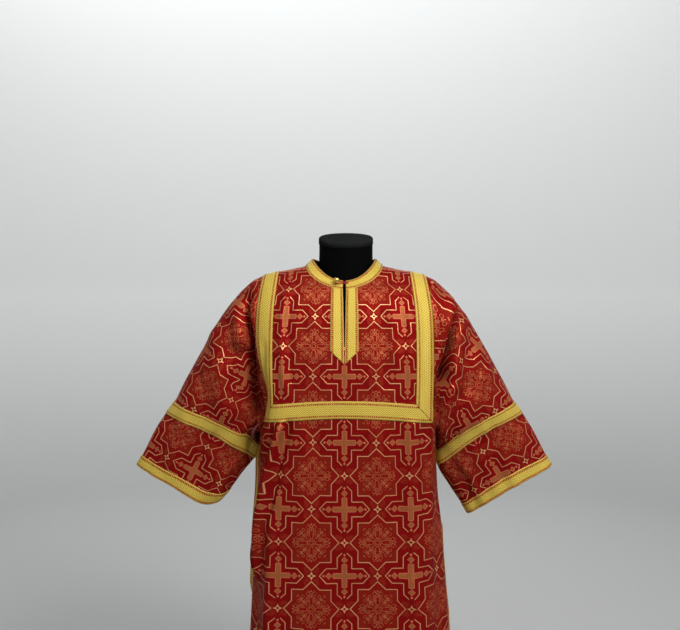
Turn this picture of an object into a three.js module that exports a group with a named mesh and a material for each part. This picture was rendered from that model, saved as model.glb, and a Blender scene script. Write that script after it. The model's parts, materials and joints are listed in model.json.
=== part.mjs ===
// A short-sleeved brocade sticharion trimmed with galloon, worn by a limbless dress form on a
// round-based stand. Millimetres, +Z up, the wearer faces -Y and the wearer's left is +X.
// The origin is the centre of the stand's underside, on the floor.
import * as THREE from "three";

// Cloth and trim
const CLOTH = 1.6; // brocade with its interlining
const GALLOON = 1.2; // woven trim sewn on the brocade
const GAP = 0.3; // between pieces at a seam
const WIDE_GALLOON = 40;
const NARROW_GALLOON = 27;

// Cut of the body
const HEM_Z = 90;
const NECK_POINT = { x: 73, z: 1477 }; // where the neckline meets the shoulder seam
const NECK_BAND_REACH = 90; // half width between the neck band's outer ends on the shoulder seams
const SHOULDER_EDGE = { x: 190, z: 1438 }; // where the shoulder seam meets the armhole
const FRONT_NECK_DROP = 51;
const BACK_NECK_DROP = 14;
const FRONT_BAND_Z = 1408; // lowest point of the neck band's outer edge, at the front
const BACK_BAND_Z = 1445;
const YOKE_BAND_Z = 1159; // upper edge of the band across the chest
const ARMPIT_Z = 1068;
const SLIT_END_Z = 1279;
const SLIT_HALF = { top: 3.6, bottom: 0.8 };
const PLACKET = { shoulderZ: 1270, pointZ: 1241, edge: 0.155 };
const YOKE_EDGE = 1 - WIDE_GALLOON / 202; // inner edge of the yoke's side bands, as a share of the panel
const SIDE_BAND_HALF = 21;
const CENTRE_DROP = 14; // how far a level line sinks from the centre to the yoke's edge
const SIDE_DROP = 8; // and from there to the side seam

// Level rings round the body. square is the ring's exponent: 2 is an ellipse, more is boxier.
const BODY_RINGS = [
  { z: 1477, half: 73, front: 0, back: 0, edge: 190, square: 2.6 },
  { z: 1476, half: 74, front: 9, back: 15, edge: 190, square: 2.6 },
  { z: 1473, half: 77, front: 18, back: 30, edge: 190, square: 2.6 },
  { z: 1468, half: 82, front: 27, back: 44, edge: 190, square: 2.6 },
  { z: 1461.5, half: 90, front: 36, back: 57, edge: 190, square: 2.6 },
  { z: 1453, half: 125, front: 44, back: 67, edge: 190, square: 2.6 },
  { z: 1446, half: 160, front: 50, back: 75, edge: 190, square: 2.6 },
  { z: 1438, half: 190, front: 57, back: 82, edge: 190, square: 2.6 },
  { z: 1426, half: 207, front: 65, back: 89, edge: 192, square: 2.8 },
  { z: 1408, half: 215, front: 81, back: 97, edge: 195, square: 3.1 },
  { z: 1380, half: 219, front: 97, back: 104, edge: 198, square: 3.6 },
  { z: 1340, half: 221, front: 110, back: 110, edge: 201, square: 4.1 },
  { z: 1300, half: 221, front: 118, back: 113, edge: 202, square: 4.4 },
  { z: 1250, half: 220, front: 126, back: 114, edge: 202, square: 4.6 },
  { z: 1150, half: 217, front: 133, back: 113, edge: 200, square: 4.7 },
  { z: 1060, half: 213, front: 134, back: 113, edge: 198, square: 4.4 },
  { z: 950, half: 217, front: 136, back: 116, edge: 199, square: 4 },
  { z: 850, half: 227, front: 140, back: 121, edge: 202, square: 3.7 },
  { z: 740, half: 234, front: 145, back: 128, edge: 204, square: 3.5 },
  { z: 596, half: 246, front: 151, back: 136, edge: 206, square: 3.2 },
  { z: 350, half: 264, front: 164, back: 153, edge: 208, square: 3 },
  { z: HEM_Z - 60, half: 284, front: 182, back: 172, edge: 210, square: 2.8 },
];

// The wearer's right side hangs in by so many millimetres, and turns back more sharply under the yoke.
const RIGHT_RINGS = [
  { z: 1438, narrower: 0, square: 2.6 },
  { z: 1380, narrower: 0, square: 3.6 },
  { z: 1300, narrower: 7, square: 4.6 },
  { z: 1240, narrower: 20, square: 5.4 },
  { z: 1165, narrower: 40, square: 6.8 },
  { z: 1120, narrower: 34, square: 6 },
  { z: 1070, narrower: 20, square: 4.8 },
  { z: 1000, narrower: 14, square: 4.1 },
  { z: 880, narrower: 16, square: 3.8 },
  { z: 760, narrower: 20, square: 3.5 },
  { z: 600, narrower: 25, square: 3.2 },
  { z: 30, narrower: 10, square: 2.8 },
];

// Soft vertical folds. at runs from 0 at the centre through 1 at the yoke's edge to 2 at the side seam,
// negative on the wearer's right; depth is at the hem, outwards where positive.
const FRONT_FOLDS = [
  { at: -1.5, width: 0.2, depth: 14, top: 1000 },
  { at: -1.13, width: 0.19, depth: -18, top: 1080 },
  { at: -0.83, width: 0.14, depth: 17, top: 1110 },
  { at: -0.4, width: 0.17, depth: 13, top: 760 },
  { at: 0, width: 0.26, depth: -13, top: 820 },
  { at: 0.42, width: 0.17, depth: 12, top: 720 },
  { at: 0.84, width: 0.14, depth: 15, top: 1130 },
  { at: 1.16, width: 0.19, depth: -17, top: 1080 },
  { at: 1.52, width: 0.2, depth: 15, top: 1000 },
];
const BACK_FOLDS = [
  { at: -1.45, width: 0.2, depth: 15, top: 1010 },
  { at: -1.05, width: 0.19, depth: -18, top: 1090 },
  { at: -0.7, width: 0.16, depth: 20, top: 1180 },
  { at: -0.34, width: 0.15, depth: -17, top: 1150 },
  { at: 0.02, width: 0.18, depth: 18, top: 1120 },
  { at: 0.38, width: 0.15, depth: -18, top: 1160 },
  { at: 0.74, width: 0.16, depth: 19, top: 1170 },
  { at: 1.08, width: 0.19, depth: -17, top: 1080 },
  { at: 1.47, width: 0.2, depth: 15, top: 1000 },
];

// Sections across a sleeve, from the armhole to the cuff, by their outer and inner ends.
// lens goes from 0, the armhole's blunt oval, to 1, a flattened tube; depth is half the lens's.
const SLEEVE_SECTIONS = [
  { outerX: 212, outerZ: 1428, innerX: 217, innerZ: 1060, lens: 0.02, depth: 60 },
  { outerX: 226, outerZ: 1417, innerX: 218.5, innerZ: 1053, lens: 0.05, depth: 60 },
  { outerX: 243, outerZ: 1401, innerX: 219.5, innerZ: 1046, lens: 0.1, depth: 60 },
  { outerX: 262, outerZ: 1379, innerX: 220.5, innerZ: 1040, lens: 0.15, depth: 60 },
  { outerX: 284, outerZ: 1350, innerX: 221, innerZ: 1034, lens: 0.2, depth: 60 },
  { outerX: 310, outerZ: 1309, innerX: 221.5, innerZ: 1028, lens: 0.27, depth: 59 },
  { outerX: 342, outerZ: 1252, innerX: 222, innerZ: 1023, lens: 0.36, depth: 57 },
  { outerX: 375, outerZ: 1194, innerX: 222.5, innerZ: 1018, lens: 0.5, depth: 55 },
  { outerX: 403, outerZ: 1144, innerX: 223, innerZ: 1012, lens: 0.66, depth: 52 },
  { outerX: 426, outerZ: 1112, innerX: 238, innerZ: 979, lens: 0.8, depth: 50 },
  { outerX: 452, outerZ: 1068, innerX: 265, innerZ: 943, lens: 0.92, depth: 47 },
  { outerX: 481, outerZ: 1011, innerX: 298, innerZ: 900, lens: 1, depth: 45 },
  { outerX: 495, outerZ: 988, innerX: 312, innerZ: 877, lens: 1, depth: 44 },
];
const MID_BAND_SECTION = 9; // the mid-sleeve band lies between this section and the next
const CUFF_BAND_SECTION = 12;

const RIGHT_SLEEVE_TUCK = 0.045; // the right sleeve's inner edge follows the narrower body by this share

// Creases down a sleeve beside its armhole, as lines in the front view. depth is outwards where positive.
const SLEEVE_CREASES = [
  { topX: 246, topZ: 1392, lowX: 214, lowZ: 1105, depth: -26, width: 13, left: 1, right: 0.75 },
  { topX: 270, topZ: 1380, lowX: 243, lowZ: 1110, depth: 9, width: 15, left: 1, right: 0.8 },
  { topX: 318, topZ: 1290, lowX: 262, lowZ: 1060, depth: -6, width: 17, left: 1, right: 0.7 },
];

// The dress form and its stand
const FORM_RINGS = [
  { z: 750, half: 168, front: 100, back: 98 },
  { z: 765, half: 178, front: 108, back: 106 },
  { z: 820, half: 180, front: 112, back: 108 },
  { z: 900, half: 166, front: 110, back: 98 },
  { z: 980, half: 158, front: 108, back: 90 },
  { z: 1050, half: 163, front: 112, back: 92 },
  { z: 1150, half: 172, front: 122, back: 101 },
  { z: 1250, half: 180, front: 119, back: 106 },
  { z: 1340, half: 180, front: 102, back: 101 },
  { z: 1400, half: 181, front: 82, back: 90 },
];
const FORM_EASE = 9; // how far the form's shoulders lie inside the cloth
const FORM_DROP = 6.6; // and below it
const FORM_FACETS = 40;
const NECK = { half: 63, front: 51, back: 46, rootZ: 1468, rootFlare: 0.5, flareHeight: 28 };
const NECK_TOP_Z = 1513;
const NECK_TILT = THREE.MathUtils.degToRad(14); // the neck's top leans forward
const CAP = { height: 17, overhang: 1.2, round: 6 };
const POLE_RADIUS = 16;
const BASE = { radius: 185, edge: 7, crown: 13 };

// The garment hangs a little to the wearer's right of the form's axis.
const GARMENT_X = -4;

// Button on the right front's neck band, and its cord loop
const BUTTON = { x: -17.5, z: 1420, radius: 7, shank: 2, stand: 3.2 };
const LOOP_RADIUS = 0.9;

const { smoothstep, lerp, clamp } = THREE.MathUtils;

/** Monotone cubic interpolation of one column of a table whose z falls or rises steadily. */
function readTable(table, column, z) {
  const rows = table[0].z < table[table.length - 1].z ? table : [...table].reverse();
  if (z <= rows[0].z) return rows[0][column];
  if (z >= rows[rows.length - 1].z) return rows[rows.length - 1][column];
  let i = 0;
  while (rows[i + 1].z < z) i++;
  const slope = (k) =>
    k < 0 || k >= rows.length - 1
      ? null
      : (rows[k + 1][column] - rows[k][column]) / (rows[k + 1].z - rows[k].z);
  const tangent = (k) => {
    const before = slope(k - 1);
    const after = slope(k);
    if (before === null) return after;
    if (after === null) return before;
    return before * after <= 0 ? 0 : (2 * before * after) / (before + after);
  };
  const step = rows[i + 1].z - rows[i].z;
  const t = (z - rows[i].z) / step;
  return (
    rows[i][column] * (1 + 2 * t) * (1 - t) ** 2 +
    step * tangent(i) * t * (1 - t) ** 2 +
    rows[i + 1][column] * t * t * (3 - 2 * t) +
    step * tangent(i + 1) * t * t * (t - 1)
  );
}

/** The body's ring at one height, on the wearer's left or right side. */
function ringAt(z, side) {
  const [half, front, back, edge, square] = ["half", "front", "back", "edge", "square"].map((name) =>
    readTable(BODY_RINGS, name, z),
  );
  if (side > 0 || z >= SHOULDER_EDGE.z) return { half, front, back, edge, square };
  const narrower = readTable(RIGHT_RINGS, "narrower", z);
  return { half: half - narrower, front, back, edge, square: readTable(RIGHT_RINGS, "square", z) };
}

/** A quarter of a ring from the centre to the side, as points with the length of cloth up to each. */
const quarters = new Map();
function quarterOf(face, side, z) {
  const key = `${face},${side},${z}`;
  if (!quarters.has(key)) {
    const ring = ringAt(z, side);
    const depth = face === "front" ? ring.front : ring.back;
    const steps = 120;
    let length = 0;
    const points = [];
    for (let i = 0; i <= steps; i++) {
      const angle = (Math.PI / 2) * (i / steps);
      const x = ring.half * Math.sin(angle) ** (2 / ring.square);
      const y = depth * Math.max(0, Math.cos(angle)) ** (2 / ring.square);
      const last = points[i - 1];
      if (last) length += Math.hypot(x - last.x, y - last.y);
      points.push({ x, y, length });
    }
    quarters.set(key, points);
  }
  return quarters.get(key);
}

/** The place where one measure (x or length) of a quarter ring reaches a value. */
function alongQuarter(points, measure, value) {
  let i = 1;
  while (i < points.length - 1 && points[i][measure] < value) i++;
  const [a, b] = [points[i - 1], points[i]];
  const t = clamp((value - a[measure]) / (b[measure] - a[measure] || 1), 0, 1);
  return { x: lerp(a.x, b.x, t), y: lerp(a.y, b.y, t), length: lerp(a.length, b.length, t) };
}

/** Height of the shoulder ridge at a distance x from the centre. */
function ridgeZ(x) {
  let low = SHOULDER_EDGE.z;
  let high = NECK_POINT.z;
  for (let i = 0; i < 40; i++) {
    const middle = (low + high) / 2;
    if (readTable(BODY_RINGS, "half", middle) > x) low = middle;
    else high = middle;
  }
  return (low + high) / 2;
}

/** How deep the ring is at x: its distance from the plane of the seams. */
function depthAt(ring, face, x) {
  const depth = face === "front" ? ring.front : ring.back;
  const rest = 1 - Math.min(1, Math.abs(x) / ring.half) ** ring.square;
  return depth * rest ** (1 / ring.square);
}

/** Pushes a level point of the body out or in by the folds that cross it. */
function foldOut(point, ring, face, across, z) {
  const folds = face === "front" ? FRONT_FOLDS : BACK_FOLDS;
  let out = 0;
  for (const fold of folds) {
    const drop = clamp((fold.top - z) / (fold.top - HEM_Z), 0, 1.1);
    out += fold.depth * drop ** 1.2 * Math.exp(-(((across - fold.at) / fold.width) ** 2));
  }
  const depth = face === "front" ? ring.front : ring.back;
  const nx = Math.sign(point.x) * (Math.abs(point.x) / ring.half) ** (ring.square - 1) / ring.half;
  const ny = Math.sign(point.y) * (Math.abs(point.y) / depth) ** (ring.square - 1) / depth;
  const length = Math.hypot(nx, ny) || 1;
  point.x += (out * nx) / length;
  point.y += (out * ny) / length;
  return point;
}

/** A point of the body between its centre and the yoke's edge (across from -1 to 1). */
function mainPoint(face, across, z) {
  const side = Math.sign(across) || 1;
  const left = alongQuarter(quarterOf(face, 1, z), "x", Math.abs(across) * ringAt(z, 1).edge);
  // Both sides are cut alike, so the right one takes the same length of cloth round its own ring.
  const at = side > 0 ? left : alongQuarter(quarterOf(face, -1, z), "length", left.length);
  const point = new THREE.Vector3(side * at.x, (face === "front" ? -1 : 1) * at.y, z);
  return foldOut(point, ringAt(z, side), face, across, z);
}

/** A point between the yoke's edge (share 0) and the side seam (share 1). */
function sidePoint(face, side, share, z) {
  const start = alongQuarter(quarterOf(face, 1, z), "x", ringAt(z, 1).edge).length;
  const quarter = quarterOf(face, side, z);
  const end = quarter[quarter.length - 1].length;
  // The last column stays half a side band from the seam, and the others share what is left.
  const bandShare = 1 - 1 / SIDE_COLUMNS;
  const bandStart = end - SIDE_BAND_HALF;
  const length =
    share <= bandShare
      ? lerp(start, bandStart, share / bandShare)
      : lerp(bandStart, end, (share - bandShare) / (1 - bandShare));
  const at = alongQuarter(quarter, "length", length);
  const onSeam = share === 1;
  const point = new THREE.Vector3(side * at.x, (face === "front" ? -1 : 1) * (onSeam ? 0 : at.y), z);
  foldOut(point, ringAt(z, side), onSeam ? "front" : face, side * (1 + share), z);
  if (onSeam) point.y = 0;
  return point;
}

/** How far a level line of the cloth has sunk at a place across the panel. */
function sink(across, z) {
  const share = Math.min(1, Math.abs(across));
  const beyond = Math.max(0, Math.abs(across) - 1);
  return (CENTRE_DROP * share ** 2 + SIDE_DROP * beyond) * smoothstep(-z, -1380, -1200);
}

/** How far the rim of a neckline or band has dropped at x, from its ends at the shoulder seams. */
const neckCurve = (x, reach, drop, power) =>
  drop * Math.max(0, 1 - Math.min(1, Math.abs(x) / reach) ** 2) ** (power / 2);

/** Height of the neckline, and of the neck band's outer edge, at x. */
function necklineZ(face, x) {
  const drop = face === "front" ? FRONT_NECK_DROP : BACK_NECK_DROP;
  return NECK_POINT.z - neckCurve(x, NECK_POINT.x, drop, 1.6);
}
function neckBandEdgeZ(face, x) {
  const top = ridgeZ(NECK_BAND_REACH);
  const low = face === "front" ? FRONT_BAND_Z : BACK_BAND_Z;
  return top - neckCurve(x, NECK_BAND_REACH, top - low, 1.2);
}

const neckShare = NECK_BAND_REACH / SHOULDER_EDGE.x;
const slitShare = (z) =>
  lerp(SLIT_HALF.bottom, SLIT_HALF.top, clamp((z - SLIT_END_Z) / (1426 - SLIT_END_Z), 0, 1)) / 200;

// Columns from the slit to the yoke's edge; the first follows the slit.
const HALF_COLUMNS = [0, PLACKET.edge, 0.24, 0.32, 0.4, neckShare, 0.64, YOKE_EDGE, 0.9, 1];
const NECK_COLUMN = 5;
const YOKE_COLUMN = 7;
const SIDE_COLUMNS = 6;

// Level lines of the cloth below the shoulders, and how the rows crowd towards the shoulder seam.
const SHOULDER_ROW_Z = 1380;
const CROWDING = [0, 0.06, 0.22, 0.52, 1];
const ROW_LEVELS = [
  1330,
  PLACKET.shoulderZ + 9, // the slit ends here
  PLACKET.shoulderZ,
  PLACKET.pointZ,
  1200,
  YOKE_BAND_Z,
  YOKE_BAND_Z - WIDE_GALLOON / 2,
  YOKE_BAND_Z - WIDE_GALLOON,
  1060,
  985,
  870,
  730,
  570,
  400,
  250,
  HEM_Z + WIDE_GALLOON,
  HEM_Z,
];
const SHOULDER_ROWS = CROWDING.length - 1;
const rowOf = (level) => SHOULDER_ROWS + 1 + ROW_LEVELS.indexOf(level);
const SLIT_ROW = rowOf(PLACKET.shoulderZ + 9);
const YOKE_ROW = rowOf(YOKE_BAND_Z);
const LAST_ROW = SHOULDER_ROWS + ROW_LEVELS.length;

/** Points with shared vertices, and cells of point numbers that go round them seen from outside. */
class Net {
  constructor() {
    this.points = [];
    this.cells = [];
    this.numbers = new Map();
  }
  add(point) {
    const key = point.toArray().map((v) => Math.round(v * 1000)).join();
    if (!this.numbers.has(key)) {
      this.numbers.set(key, this.points.length);
      this.points.push(point);
    }
    return this.numbers.get(key);
  }
  /** Adds a cell; a flipped one goes round the other way from the same first corner. */
  cell([first, ...others], flipped, tag) {
    this.cells.push({ corners: [first, ...(flipped ? others.reverse() : others)], ...tag });
  }
  /**
   * Area-weighted normals, longer at a bend so that an offset wall keeps its distance.
   * A point on the plane of the seams keeps its normal in that plane.
   */
  findNormals() {
    this.normals = this.points.map(() => new THREE.Vector3());
    const around = this.points.map(() => []);
    for (const { corners } of this.cells) {
      for (const [a, b, c] of fan(corners)) {
        const [pa, pb, pc] = [a, b, c].map((n) => this.points[n]);
        const normal = pb.clone().sub(pa).cross(pc.clone().sub(pa));
        for (const n of [a, b, c]) {
          this.normals[n].add(normal);
          around[n].push(normal);
        }
      }
    }
    this.normals.forEach((normal, n) => {
      if (this.seamPlane && this.points[n].y === 0) normal.y = 0;
      normal.normalize();
      const least = Math.min(...around[n].map((face) => face.clone().normalize().dot(normal)));
      normal.divideScalar(clamp(least, 0.6, 1));
    });
  }
}

const fan = (corners) => corners.slice(2).map((_, i) => [corners[0], corners[i + 1], corners[i + 2]]);

/** A closed wall on some cells of a net, from one offset along its normals to another. */
function wall(net, cells, from, to, move = () => null) {
  const numbers = new Map();
  const inner = [];
  const outer = [];
  const number = (n) => {
    if (!numbers.has(n)) {
      numbers.set(n, numbers.size);
      const shift = move(n) ?? new THREE.Vector3();
      inner.push(net.points[n].clone().addScaledVector(net.normals[n], from).add(shift));
      outer.push(net.points[n].clone().addScaledVector(net.normals[n], to).add(shift));
    }
    return numbers.get(n);
  };
  const edges = new Map();
  const triangles = [];
  for (const { corners } of cells) {
    const loop = corners.map(number);
    triangles.push(...fan(loop));
    loop.forEach((a, i) => {
      const b = loop[(i + 1) % loop.length];
      if (edges.has(`${b},${a}`)) edges.delete(`${b},${a}`);
      else edges.set(`${a},${b}`, [a, b]);
    });
  }
  const lift = outer.length;
  const faces = triangles.flatMap(([a, b, c]) => [[a, b, c], [c + lift, b + lift, a + lift]]);
  for (const [a, b] of edges.values()) faces.push([b, a, a + lift], [b, a + lift, b + lift]);
  return solidFrom([...outer, ...inner], faces);
}

function solidFrom(points, faces) {
  const geometry = new THREE.BufferGeometry();
  geometry.setAttribute("position", new THREE.Float32BufferAttribute(points.flatMap((p) => p.toArray()), 3));
  geometry.setIndex(faces.flat());
  geometry.computeVertexNormals();
  return geometry;
}

/** The place across the panel of a column, which for the first one follows the slit. */
const columnShare = (column, z) => (column === 0 ? slitShare(z) : HALF_COLUMNS[column]);

/** A point of the main part of a panel, by signed column and row. */
function panelPoint(face, side, column, row) {
  if (row > SHOULDER_ROWS) {
    const level = ROW_LEVELS[row - SHOULDER_ROWS - 1];
    const across = side * columnShare(column, level);
    return mainPoint(face, across, level - sink(across, level));
  }
  const edge = SHOULDER_EDGE.x;
  const topX = column === 0 ? SLIT_HALF.top : HALF_COLUMNS[column] * edge;
  const onRidge = column >= NECK_COLUMN;
  const topZ = onRidge ? ridgeZ(topX) : neckBandEdgeZ(face, topX);
  const low = side * columnShare(column, SHOULDER_ROW_Z);
  const lowPoint = mainPoint(face, low, SHOULDER_ROW_Z - sink(low, SHOULDER_ROW_Z));
  const share = CROWDING[row];
  if (share === 1) return lowPoint;
  return surfacePoint(face, lerp(side * topX, lowPoint.x, share), lerp(topZ, lowPoint.z, share), onRidge && row === 0);
}

/** The body's surface as seen from the front, above the folds. */
function surfacePoint(face, x, z, onRidge) {
  const ring = ringAt(z, Math.sign(x) || 1);
  const y = onRidge ? 0 : depthAt(ring, face, x) * (face === "front" ? -1 : 1);
  return new THREE.Vector3(x, y, z);
}

/** A point of the strip under the neck band: ring 0 is the neckline and 2 the band's outer edge. */
function neckPoint(face, side, column, ring) {
  if (ring === 2) return panelPoint(face, side, column, 0);
  const onRidge = column === NECK_COLUMN;
  const outerX = column === 0 ? SLIT_HALF.top : HALF_COLUMNS[column] * SHOULDER_EDGE.x;
  const innerX = column === 0 ? SLIT_HALF.top : (outerX * NECK_POINT.x) / NECK_BAND_REACH;
  const x = lerp(innerX, outerX, ring / 2);
  const z = onRidge ? ridgeZ(x) : lerp(necklineZ(face, innerX), neckBandEdgeZ(face, outerX), ring / 2);
  return surfacePoint(face, side * x, ring === 0 && onRidge ? NECK_POINT.z : z, onRidge);
}

/** A point of the part under the arm, whose upper edge is the armhole's scoop. */
function underarmPoint(face, side, column, row) {
  const share = column / SIDE_COLUMNS;
  const startLevel = YOKE_BAND_Z;
  const calmLevel = 985;
  const level = ROW_LEVELS[row - SHOULDER_ROWS - 1];
  const sunk = sink(1 + share, level);
  if (level <= calmLevel) {
    return column === 0
      ? panelPoint(face, side, HALF_COLUMNS.length - 1, row)
      : sidePoint(face, side, share, level - sunk);
  }
  if (column === 0) return panelPoint(face, side, HALF_COLUMNS.length - 1, row);
  const scoopDepth = startLevel - sink(1, startLevel) - ARMPIT_Z;
  const scoopZ = ARMPIT_Z + scoopDepth * (1 - Math.sqrt(1 - (1 - share) ** 2));
  const calmZ = calmLevel - sink(1 + share, calmLevel);
  const fall = (startLevel - level) / (startLevel - calmLevel);
  return sidePoint(face, side, share, lerp(scoopZ, calmZ, fall));
}

/** The whole body of the garment as one net, with each cell tagged by its place. */
function makeBodyNet() {
  const net = new Net();
  net.seamPlane = true;
  const quad = (face, side, corners, tag) => {
    const numbers = corners.map((p) => net.add(p));
    const outward = (face === "front") === side > 0;
    net.cell(numbers, !outward, { face, side, ...tag });
  };
  for (const face of ["front", "back"]) {
    for (const side of [-1, 1]) {
      for (let column = 0; column < HALF_COLUMNS.length - 1; column++) {
        for (let row = 0; row < LAST_ROW; row++) {
          const at = (c, r) => panelPoint(face, side, c, r);
          const corners = [at(column, row), at(column, row + 1), at(column + 1, row + 1), at(column + 1, row)];
          quad(face, side, corners, { part: "main", column, row });
        }
      }
      for (let column = 0; column < SIDE_COLUMNS; column++) {
        for (let row = YOKE_ROW; row < LAST_ROW; row++) {
          const at = (c, r) => underarmPoint(face, side, c, r);
          const corners = [at(column, row), at(column, row + 1), at(column + 1, row + 1), at(column + 1, row)];
          quad(face, side, corners, { part: "side", column, row });
        }
      }
      for (let column = 0; column < NECK_COLUMN; column++) {
        for (let row = 0; row < 2; row++) {
          const at = (c, r) => neckPoint(face, side, c, r);
          const corners = [at(column, row), at(column, row + 1), at(column + 1, row + 1), at(column + 1, row)];
          quad(face, side, corners, { part: "neck", column, row });
        }
      }
    }
    // The strip between the first columns, which the slit leaves open at the front.
    const firstRow = face === "front" ? SLIT_ROW : 0;
    for (let row = firstRow; row < LAST_ROW; row++) {
      const at = (side, r) => panelPoint(face, side, 0, r);
      quad(face, 1, [at(-1, row), at(-1, row + 1), at(1, row + 1), at(1, row)], { part: "main", column: -1, row });
    }
    if (face === "back") {
      for (let row = 0; row < 2; row++) {
        const at = (side, r) => neckPoint(face, side, 0, r);
        quad(face, 1, [at(-1, row), at(-1, row + 1), at(1, row + 1), at(1, row)], { part: "neck", column: -1, row });
      }
    }
  }
  net.findNormals();
  return net;
}

const body = makeBodyNet();

/** Half a seam's gap, towards the panel's own side of the seam plane. */
const seamShift = (face) => (n) =>
  body.points[n].y === 0 ? new THREE.Vector3(0, ((face === "front" ? -1 : 1) * GAP) / 2, 0) : null;

const panel = (face) =>
  wall(body, body.cells.filter((cell) => cell.face === face), -CLOTH / 2, CLOTH / 2, seamShift(face));

const trimFrom = CLOTH / 2 + GAP;
const trim = (cells, move) => wall(body, cells, trimFrom, trimFrom + GALLOON, move);
const pick = (test) => body.cells.filter(test);

/** Keeps the corner-to-corner half of a square cell on the side of the given corner. */
function halfCell(cell, keep) {
  const at = cell.corners.indexOf(keep);
  const size = cell.corners.length;
  return { ...cell, corners: [(at + size - 1) % size, at, (at + 1) % size].map((i) => cell.corners[i]) };
}

/** The number of the net's point at a column and row of a panel. */
const pointNumber = (face, side, column, row) => body.add(panelPoint(face, side, column, row));

/** Cells of a yoke band: side bands keep what lies above the mitre, and the cross band what lies below it. */
function yokeCells(face, upright) {
  const kept = [];
  for (const cell of pick((c) => c.face === face && c.part === "main")) {
    const inColumns = cell.column >= YOKE_COLUMN;
    const inRows = cell.row >= YOKE_ROW && cell.row < YOKE_ROW + 2;
    const step = cell.column - YOKE_COLUMN;
    const drop = cell.row - YOKE_ROW;
    if (inColumns && inRows) {
      const above = step > drop;
      const below = step < drop;
      if (upright ? above : below) kept.push(cell);
      if (step === drop) {
        const corner = upright
          ? pointNumber(face, cell.side, cell.column + 1, cell.row)
          : pointNumber(face, cell.side, cell.column, cell.row + 1);
        kept.push(halfCell(cell, corner));
      }
    } else if (upright ? inColumns && cell.row < YOKE_ROW : inRows && !inColumns) kept.push(cell);
  }
  return kept;
}

/** Lowers the cross band's mitred ends, so that they stand a gap clear of the side bands. */
function mitreShift(face) {
  const numbers = [-1, 1].flatMap((side) =>
    [0, 1, 2].map((i) => pointNumber(face, side, YOKE_COLUMN + i, YOKE_ROW + i)),
  );
  return (n) => (numbers.includes(n) ? new THREE.Vector3(0, 0, -2.4 * GAP) : null);
}

function sideBandOver(side) {
  return [
    ...yokeCells("front", true).filter((cell) => cell.side === side),
    ...yokeCells("back", true).filter((cell) => cell.side === side),
  ];
}

/** The galloon down one edge of the neck slit, with its pointed end. */
function placketCells(side) {
  const cells = pick((c) => c.face === "front" && c.side === side && c.part === "main" && c.column === 0);
  const pointRow = rowOf(PLACKET.shoulderZ);
  const whole = cells.filter((c) => c.row < pointRow);
  const tip = cells.find((c) => c.row === pointRow);
  return [...whole, halfCell(tip, pointNumber("front", side, 0, pointRow))];
}

/** Opens a gap between the placket's upper end and the neck band. */
function placketShift(side) {
  const numbers = [0, 1].map((column) => pointNumber("front", side, column, 0));
  return (n) => (numbers.includes(n) ? new THREE.Vector3(0, -GAP, -1.6 * GAP) : null);
}

function neckBandCells(face, side) {
  return pick((c) => c.part === "neck" && c.face === face && (side === 0 || c.side === side));
}

/** Side bands run down over the side seam, and stop above the hem band. */
const hemRow = rowOf(HEM_Z + WIDE_GALLOON);
function sideSeamCells(side) {
  const under = YOKE_ROW + 1;
  return pick(
    (c) => c.part === "side" && c.side === side && c.column === SIDE_COLUMNS - 1 && c.row >= under && c.row < hemRow,
  );
}
function aboveHemShift(n) {
  const level = HEM_Z + WIDE_GALLOON;
  const point = body.points[n];
  return Math.abs(point.z - (level - sink(2, level))) < 3 ? new THREE.Vector3(0, 0, 1.6 * GAP) : null;
}
const hemCells = (face) => pick((c) => c.face === face && c.row === hemRow && c.part !== "neck");

/** The armhole's edge from the shoulder ridge round the front, under the arm and up the back. */
function armholeLoop(side) {
  const last = HALF_COLUMNS.length - 1;
  const down = (face) => [
    ...Array.from({ length: YOKE_ROW }, (_, row) => panelPoint(face, side, last, row)),
    ...Array.from({ length: SIDE_COLUMNS + 1 }, (_, column) => underarmPoint(face, side, column, YOKE_ROW)),
  ];
  const front = down("front");
  const back = down("back").slice(1, -1).reverse();
  return [...front, ...back];
}

/** How far a crease pushes the sleeve out or in at a place in the front view. */
function creaseDepth(x, z, side) {
  let out = 0;
  for (const crease of SLEEVE_CREASES) {
    const t = (crease.topZ - z) / (crease.topZ - crease.lowZ);
    const centre = lerp(crease.topX, crease.lowX, t);
    const fade = smoothstep(t, -0.12, 0.2) * (1 - smoothstep(t, 0.85, 1.15));
    const strength = side > 0 ? crease.left : crease.right;
    out += crease.depth * strength * fade * Math.exp(-(((Math.abs(x) - centre) / crease.width) ** 2));
  }
  return out;
}

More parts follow.
